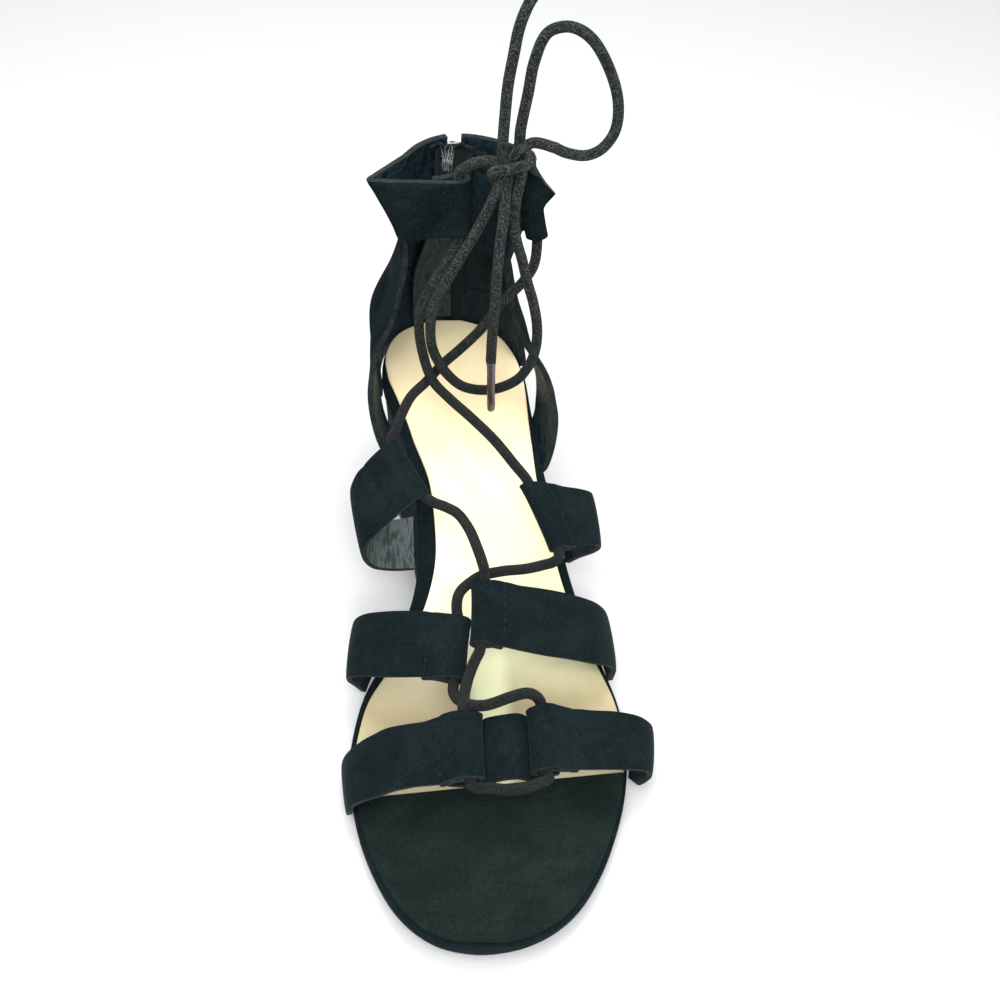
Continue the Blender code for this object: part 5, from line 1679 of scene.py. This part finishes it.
    def make(self, shop: Workshop) -> None:
        """Build the free lengths first, then the run and the knot."""
        low = self.make_aglet(shop, "aglet_low_sleeve", self.aglet_low, "aglet_low")
        high = self.make_aglet(shop, "aglet_high_sleeve", self.aglet_high, "aglet_high")
        for node, route, far_end, pieces in (("lace_loop_low", self.loop_low, "object", ()),
                                             ("lace_loop_high", self.loop_high, "object", ()),
                                             ("lace_tail_low", self.tail_low, "fitting", (low,)),
                                             ("lace_tail_high", self.tail_high, "fitting", (high,))):
            piece, line = self.tube(shop, node + "_braid", route)
            shop.done(piece, replaces=[node], smooth=60.0)
            self.declare()
        run, line = self.tube(shop, "lace_run", self.run())
        shop.done(run, replaces=["lace_toe_bar", "lace_crossing_1", "lace_crossing_2",
                                         "lace_crossing_3", "lace_tie_inner", "lace_tie_outer"], smooth=60.0)
        log.info("the laced run is %.0f mm long", length_of(line))
        wraps = [self.tube(shop, "lace_wrap", self.rooted(wrap))[0] for wrap in self.wraps]
        shop.done(shop.join("lace_knot_wraps", wraps), replaces=["lace_knot"], smooth=60.0)


# ---------------- studio


@dataclass
class Studio:
    """Camera, lights and a white floor."""

    eye: Row = (-31.95, -180.2, 340.7)
    tilt: float = 42.0
    lens: float = 46.8
    film: float = 36.0
    shift: float = 0.13
    floor_size: float = 6.0
    surround: float = 0.75
    lights: tuple = (  # name, place and target in metres, size, power
        ("studio_key", (-0.35, -0.45, 0.9), (0.0, 0.0, 0.05), 0.6, 8.0),
        ("studio_front", (0.0, -0.62, 0.72), (0.0, 0.09, 0.05), 0.35, 6.0),
        ("studio_fill", (0.7, -0.5, 0.6), (0.0, 0.0, 0.05), 0.6, 4.0),
        ("studio_top", (0.0, 0.5, 1.0), (0.0, 0.05, 0.05), 0.8, 7.0),
        ("studio_heel", (-0.01, 0.06, 0.75), (-0.01, 0.085, 0.05), 0.2, 1.6))

    def make_camera(self) -> None:
        """The camera, level across and looking down along the shoe from above its toe."""
        Workshop.clear()
        bpy.ops.object.camera_add(location=tuple(place(self.eye)),
                                  rotation=(math.radians(90 - self.tilt), 0, 0))
        camera = bpy.context.object
        camera.name = "studio_camera"
        camera.data.lens = self.lens
        camera.data.sensor_width = self.film
        camera.data.shift_x = self.shift
        camera.data.clip_start = 0.01
        camera.data.dof.use_dof = False
        bpy.context.scene.camera = camera

    @staticmethod
    def area(name: str, where: Row, target: Row, size: float, power: float) -> None:
        """A square area light aimed at a place."""
        Workshop.clear()
        bpy.ops.object.light_add(type='AREA', location=where)
        light = bpy.context.object
        light.name = name
        light.rotation_euler = (Vector(target) - Vector(where)).to_track_quat('-Z', 'Y').to_euler()
        light.data.size = size
        light.data.energy = power

    def make_room(self) -> None:
        """The pale floor, the even white surround and the soft lights."""
        Workshop.clear()
        bpy.ops.mesh.primitive_plane_add(size=self.floor_size, location=(0.0, 0.0, -0.0002))
        floor = bpy.context.object
        floor.name = "studio_floor"
        floor.data.materials.append(Graph("studio_white").dress(
            Base_Color=(0.50, 0.505, 0.505), Roughness=0.8, Specular_IOR_Level=0.1))
        world = bpy.context.scene.world or bpy.data.worlds.new("studio_world")
        bpy.context.scene.world = world
        world.use_nodes = True
        surround = world.node_tree.nodes["Background"]
        surround.inputs["Color"].default_value = (1.0, 1.0, 1.0, 1.0)
        surround.inputs["Strength"].default_value = self.surround
        for name, where, target, size, power in self.lights:
            self.area(name, where, target, size, power)
        bpy.context.scene.view_settings.view_transform = 'Standard'


# ---------------- the sandal

FRONT_BAND = (
    (-38.4, 50.5, 3.6, -39.9, 68.0, 3.0), (-38.0, 48.0, 9.2, -40.1, 66.4, 7.7),
    (-37.3, 47.3, 12.8, -38.8, 65.8, 13.1), (-33.4, 46.8, 16.5, -35.0, 66.1, 18.2),
    (-26.9, 46.5, 20.5, -28.9, 66.3, 23.8), (-19.4, 46.3, 23.8, -22.0, 65.7, 27.5),
    (-12.5, 46.0, 25.4, -14.5, 65.7, 29.5), (-8.6, 46.0, 27.6, -9.4, 66.0, 32.7),
    (-4.5, 46.1, 28.8, -4.8, 66.1, 34.0), (-1.0, 46.4, 28.4, -0.8, 66.3, 33.4),
    (18.2, 49.5, 28.1, 17.8, 68.4, 33.3), (21.2, 50.1, 28.2, 21.2, 68.9, 33.8),
    (24.0, 51.0, 26.8, 25.2, 69.4, 32.0), (27.4, 51.9, 24.8, 29.2, 70.0, 30.0),
    (33.0, 53.3, 22.6, 36.0, 71.0, 27.8), (39.8, 55.0, 20.4, 43.6, 72.2, 25.8),
    (46.8, 56.2, 18.8, 50.2, 73.4, 22.4), (52.0, 57.2, 16.4, 55.1, 74.3, 17.1),
    (53.2, 58.2, 12.2, 56.5, 75.9, 11.0), (50.6, 59.0, 7.6, 55.2, 78.6, 6.4),
    (49.7, 63.5, 3.6, 51.4, 80.0, 3.2))
FRONT_BRIDGE = (
    (-9.0, 48.4, 21.4, -9.6, 65.4, 25.6), (-5.0, 48.2, 21.2, -5.4, 65.8, 25.8),
    (-2.0, 48.0, 21.4, -2.2, 66.4, 26.4), (0.8, 47.6, 22.4, 0.9, 66.9, 27.4),
    (3.2, 47.4, 24.0, 3.8, 67.4, 29.1), (7.5, 48.2, 24.5, 8.4, 68.1, 29.6),
    (11.8, 48.8, 24.2, 12.6, 68.6, 29.6), (14.6, 49.6, 22.4, 15.6, 68.7, 27.8),
    (18.0, 50.8, 21.4, 19.2, 68.8, 26.6), (22.0, 52.0, 21.2, 23.2, 69.0, 26.2),
    (24.5, 52.6, 21.2, 25.6, 69.2, 26.2))
SECOND_INNER = (
    (-34.2, 98.0, 4.4, -27.3, 112.5, 8.3), (-36.5, 94.7, 11.4, -33.0, 111.5, 15.0),
    (-38.7, 92.7, 16.3, -36.6, 110.6, 20.6), (-38.3, 90.8, 20.5, -36.5, 109.6, 26.4),
    (-34.2, 88.4, 23.8, -33.6, 107.8, 31.3), (-28.2, 86.0, 26.2, -28.4, 106.1, 34.3),
    (-21.3, 84.4, 28.1, -21.7, 104.5, 36.5), (-13.9, 83.1, 29.7, -14.2, 103.1, 37.7),
    (-6.0, 82.2, 30.7, -3.1, 101.9, 37.1))
SECOND_OUTER = (
    (48.4, 102.5, 5.0, 43.7, 118.0, 10.0), (48.1, 99.8, 11.4, 47.1, 117.7, 14.7),
    (47.7, 98.4, 15.6, 47.0, 116.8, 20.1), (45.4, 96.4, 19.4, 44.6, 115.7, 25.7),
    (41.1, 94.2, 22.9, 39.5, 114.3, 31.0), (31.5, 92.7, 27.1, 30.0, 112.4, 36.6),
    (22.9, 91.8, 30.0, 22.5, 111.5, 39.4), (15.1, 91.4, 32.8, 15.5, 110.9, 41.4),
    (8.9, 90.8, 35.4, 10.0, 110.3, 43.8), (4.1, 90.3, 37.8, 4.8, 109.6, 45.4))
THIRD_INNER = (
    (-16.7, 139.5, 20.4, -16.9, 156.5, 29.4), (-24.0, 136.9, 22.7, -24.6, 154.5, 29.8),
    (-30.5, 134.8, 26.0, -32.6, 152.9, 35.1), (-33.9, 134.0, 31.4, -37.2, 151.2, 41.4),
    (-33.5, 134.0, 37.0, -38.0, 150.6, 47.4), (-30.3, 134.6, 41.4, -36.3, 152.0, 52.6),
    (-24.5, 137.0, 46.5, -32.5, 154.4, 56.8), (-19.0, 139.5, 50.8, -28.6, 156.4, 60.0),
    (-15.0, 141.0, 53.2, -25.6, 157.8, 62.0))
THIRD_OUTER = (
    (36.9, 142.0, 21.1, 34.9, 160.0, 30.2), (39.7, 138.0, 27.9, 37.5, 152.7, 32.5),
    (43.2, 136.3, 31.5, 41.0, 151.8, 37.6), (44.9, 134.4, 35.2, 43.0, 150.0, 42.5),
    (44.2, 132.5, 38.9, 42.6, 148.5, 47.5), (39.9, 129.6, 41.7, 38.3, 146.7, 50.9),
    (35.8, 127.2, 43.0, 32.0, 145.0, 53.6), (33.0, 125.8, 44.6, 26.5, 143.6, 56.4),
    (31.2, 125.0, 45.6, 21.5, 142.4, 58.2))


class Bridge(Strap):
    """The short band under the toe strap's two folds."""

    def make(self, shop: Workshop) -> None:
        """Build the band without folds."""
        points = self.lanes()
        piece = shop.grid(self.name, points[:, ::-1])
        shop.wall(piece, self.wall, shop.suede, shop.lining)
        shop.done(piece, replaces=self.node)


def make_straps() -> dict[str, Strap]:
    """The straps ahead of the heel, by the name of the lace's fold in each."""
    toe, inner, outer = ("front_strap",), 1, -1
    return {
        "toe_inner": Strap("strap_toe_inner", toe, FRONT_BAND[:10], inner, seam=10.9, fold=2.4,
                           creases=((0.52, 0.3, 0.05), (0.40, -0.35, 0.05))),
        "toe_outer": Strap("strap_toe_outer", toe, FRONT_BAND[10:][::-1], outer, seam=12.9, fold=2.4,
                           creases=((0.45, -0.3, 0.05),)),
        "second_inner": Strap("strap_second_inner", ("second_strap_inner",), SECOND_INNER, inner, seam=9.4),
        "second_outer": Strap("strap_second_outer", ("second_strap_outer",), SECOND_OUTER, outer, seam=6.0),
        "third_inner": Strap("strap_third_inner", ("third_strap_inner",), THIRD_INNER, inner, fold=2.35,
                             flap=3.6, notch=0.35, lit_lining=True),
        "third_outer": Strap("strap_third_outer", ("third_strap_outer",), THIRD_OUTER, outer, seam=5.4,
                             fold=2.35)}


def main() -> None:
    """Load the frame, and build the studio's camera and the sandal's pieces in order."""
    logging.basicConfig(level=logging.INFO, format="%(name)s %(message)s", stream=sys.stdout)
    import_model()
    shop, last = Workshop(), Last()
    upper, straps = RearUpper(last), make_straps()
    studio = Studio()
    studio.make_camera()
    Lace(upper, straps).make(shop)
    Sole(last).make(shop)
    for strap in straps.values():
        strap.make(shop)
    Bridge("strap_toe_bridge", ("front_strap",), FRONT_BRIDGE, 1).make(shop)
    upper.make(shop)
    Zip(upper).make(shop)
    studio.make_room()
    log.info("%d pieces made", len(shop.made))


if __name__ == "__main__":
    main()
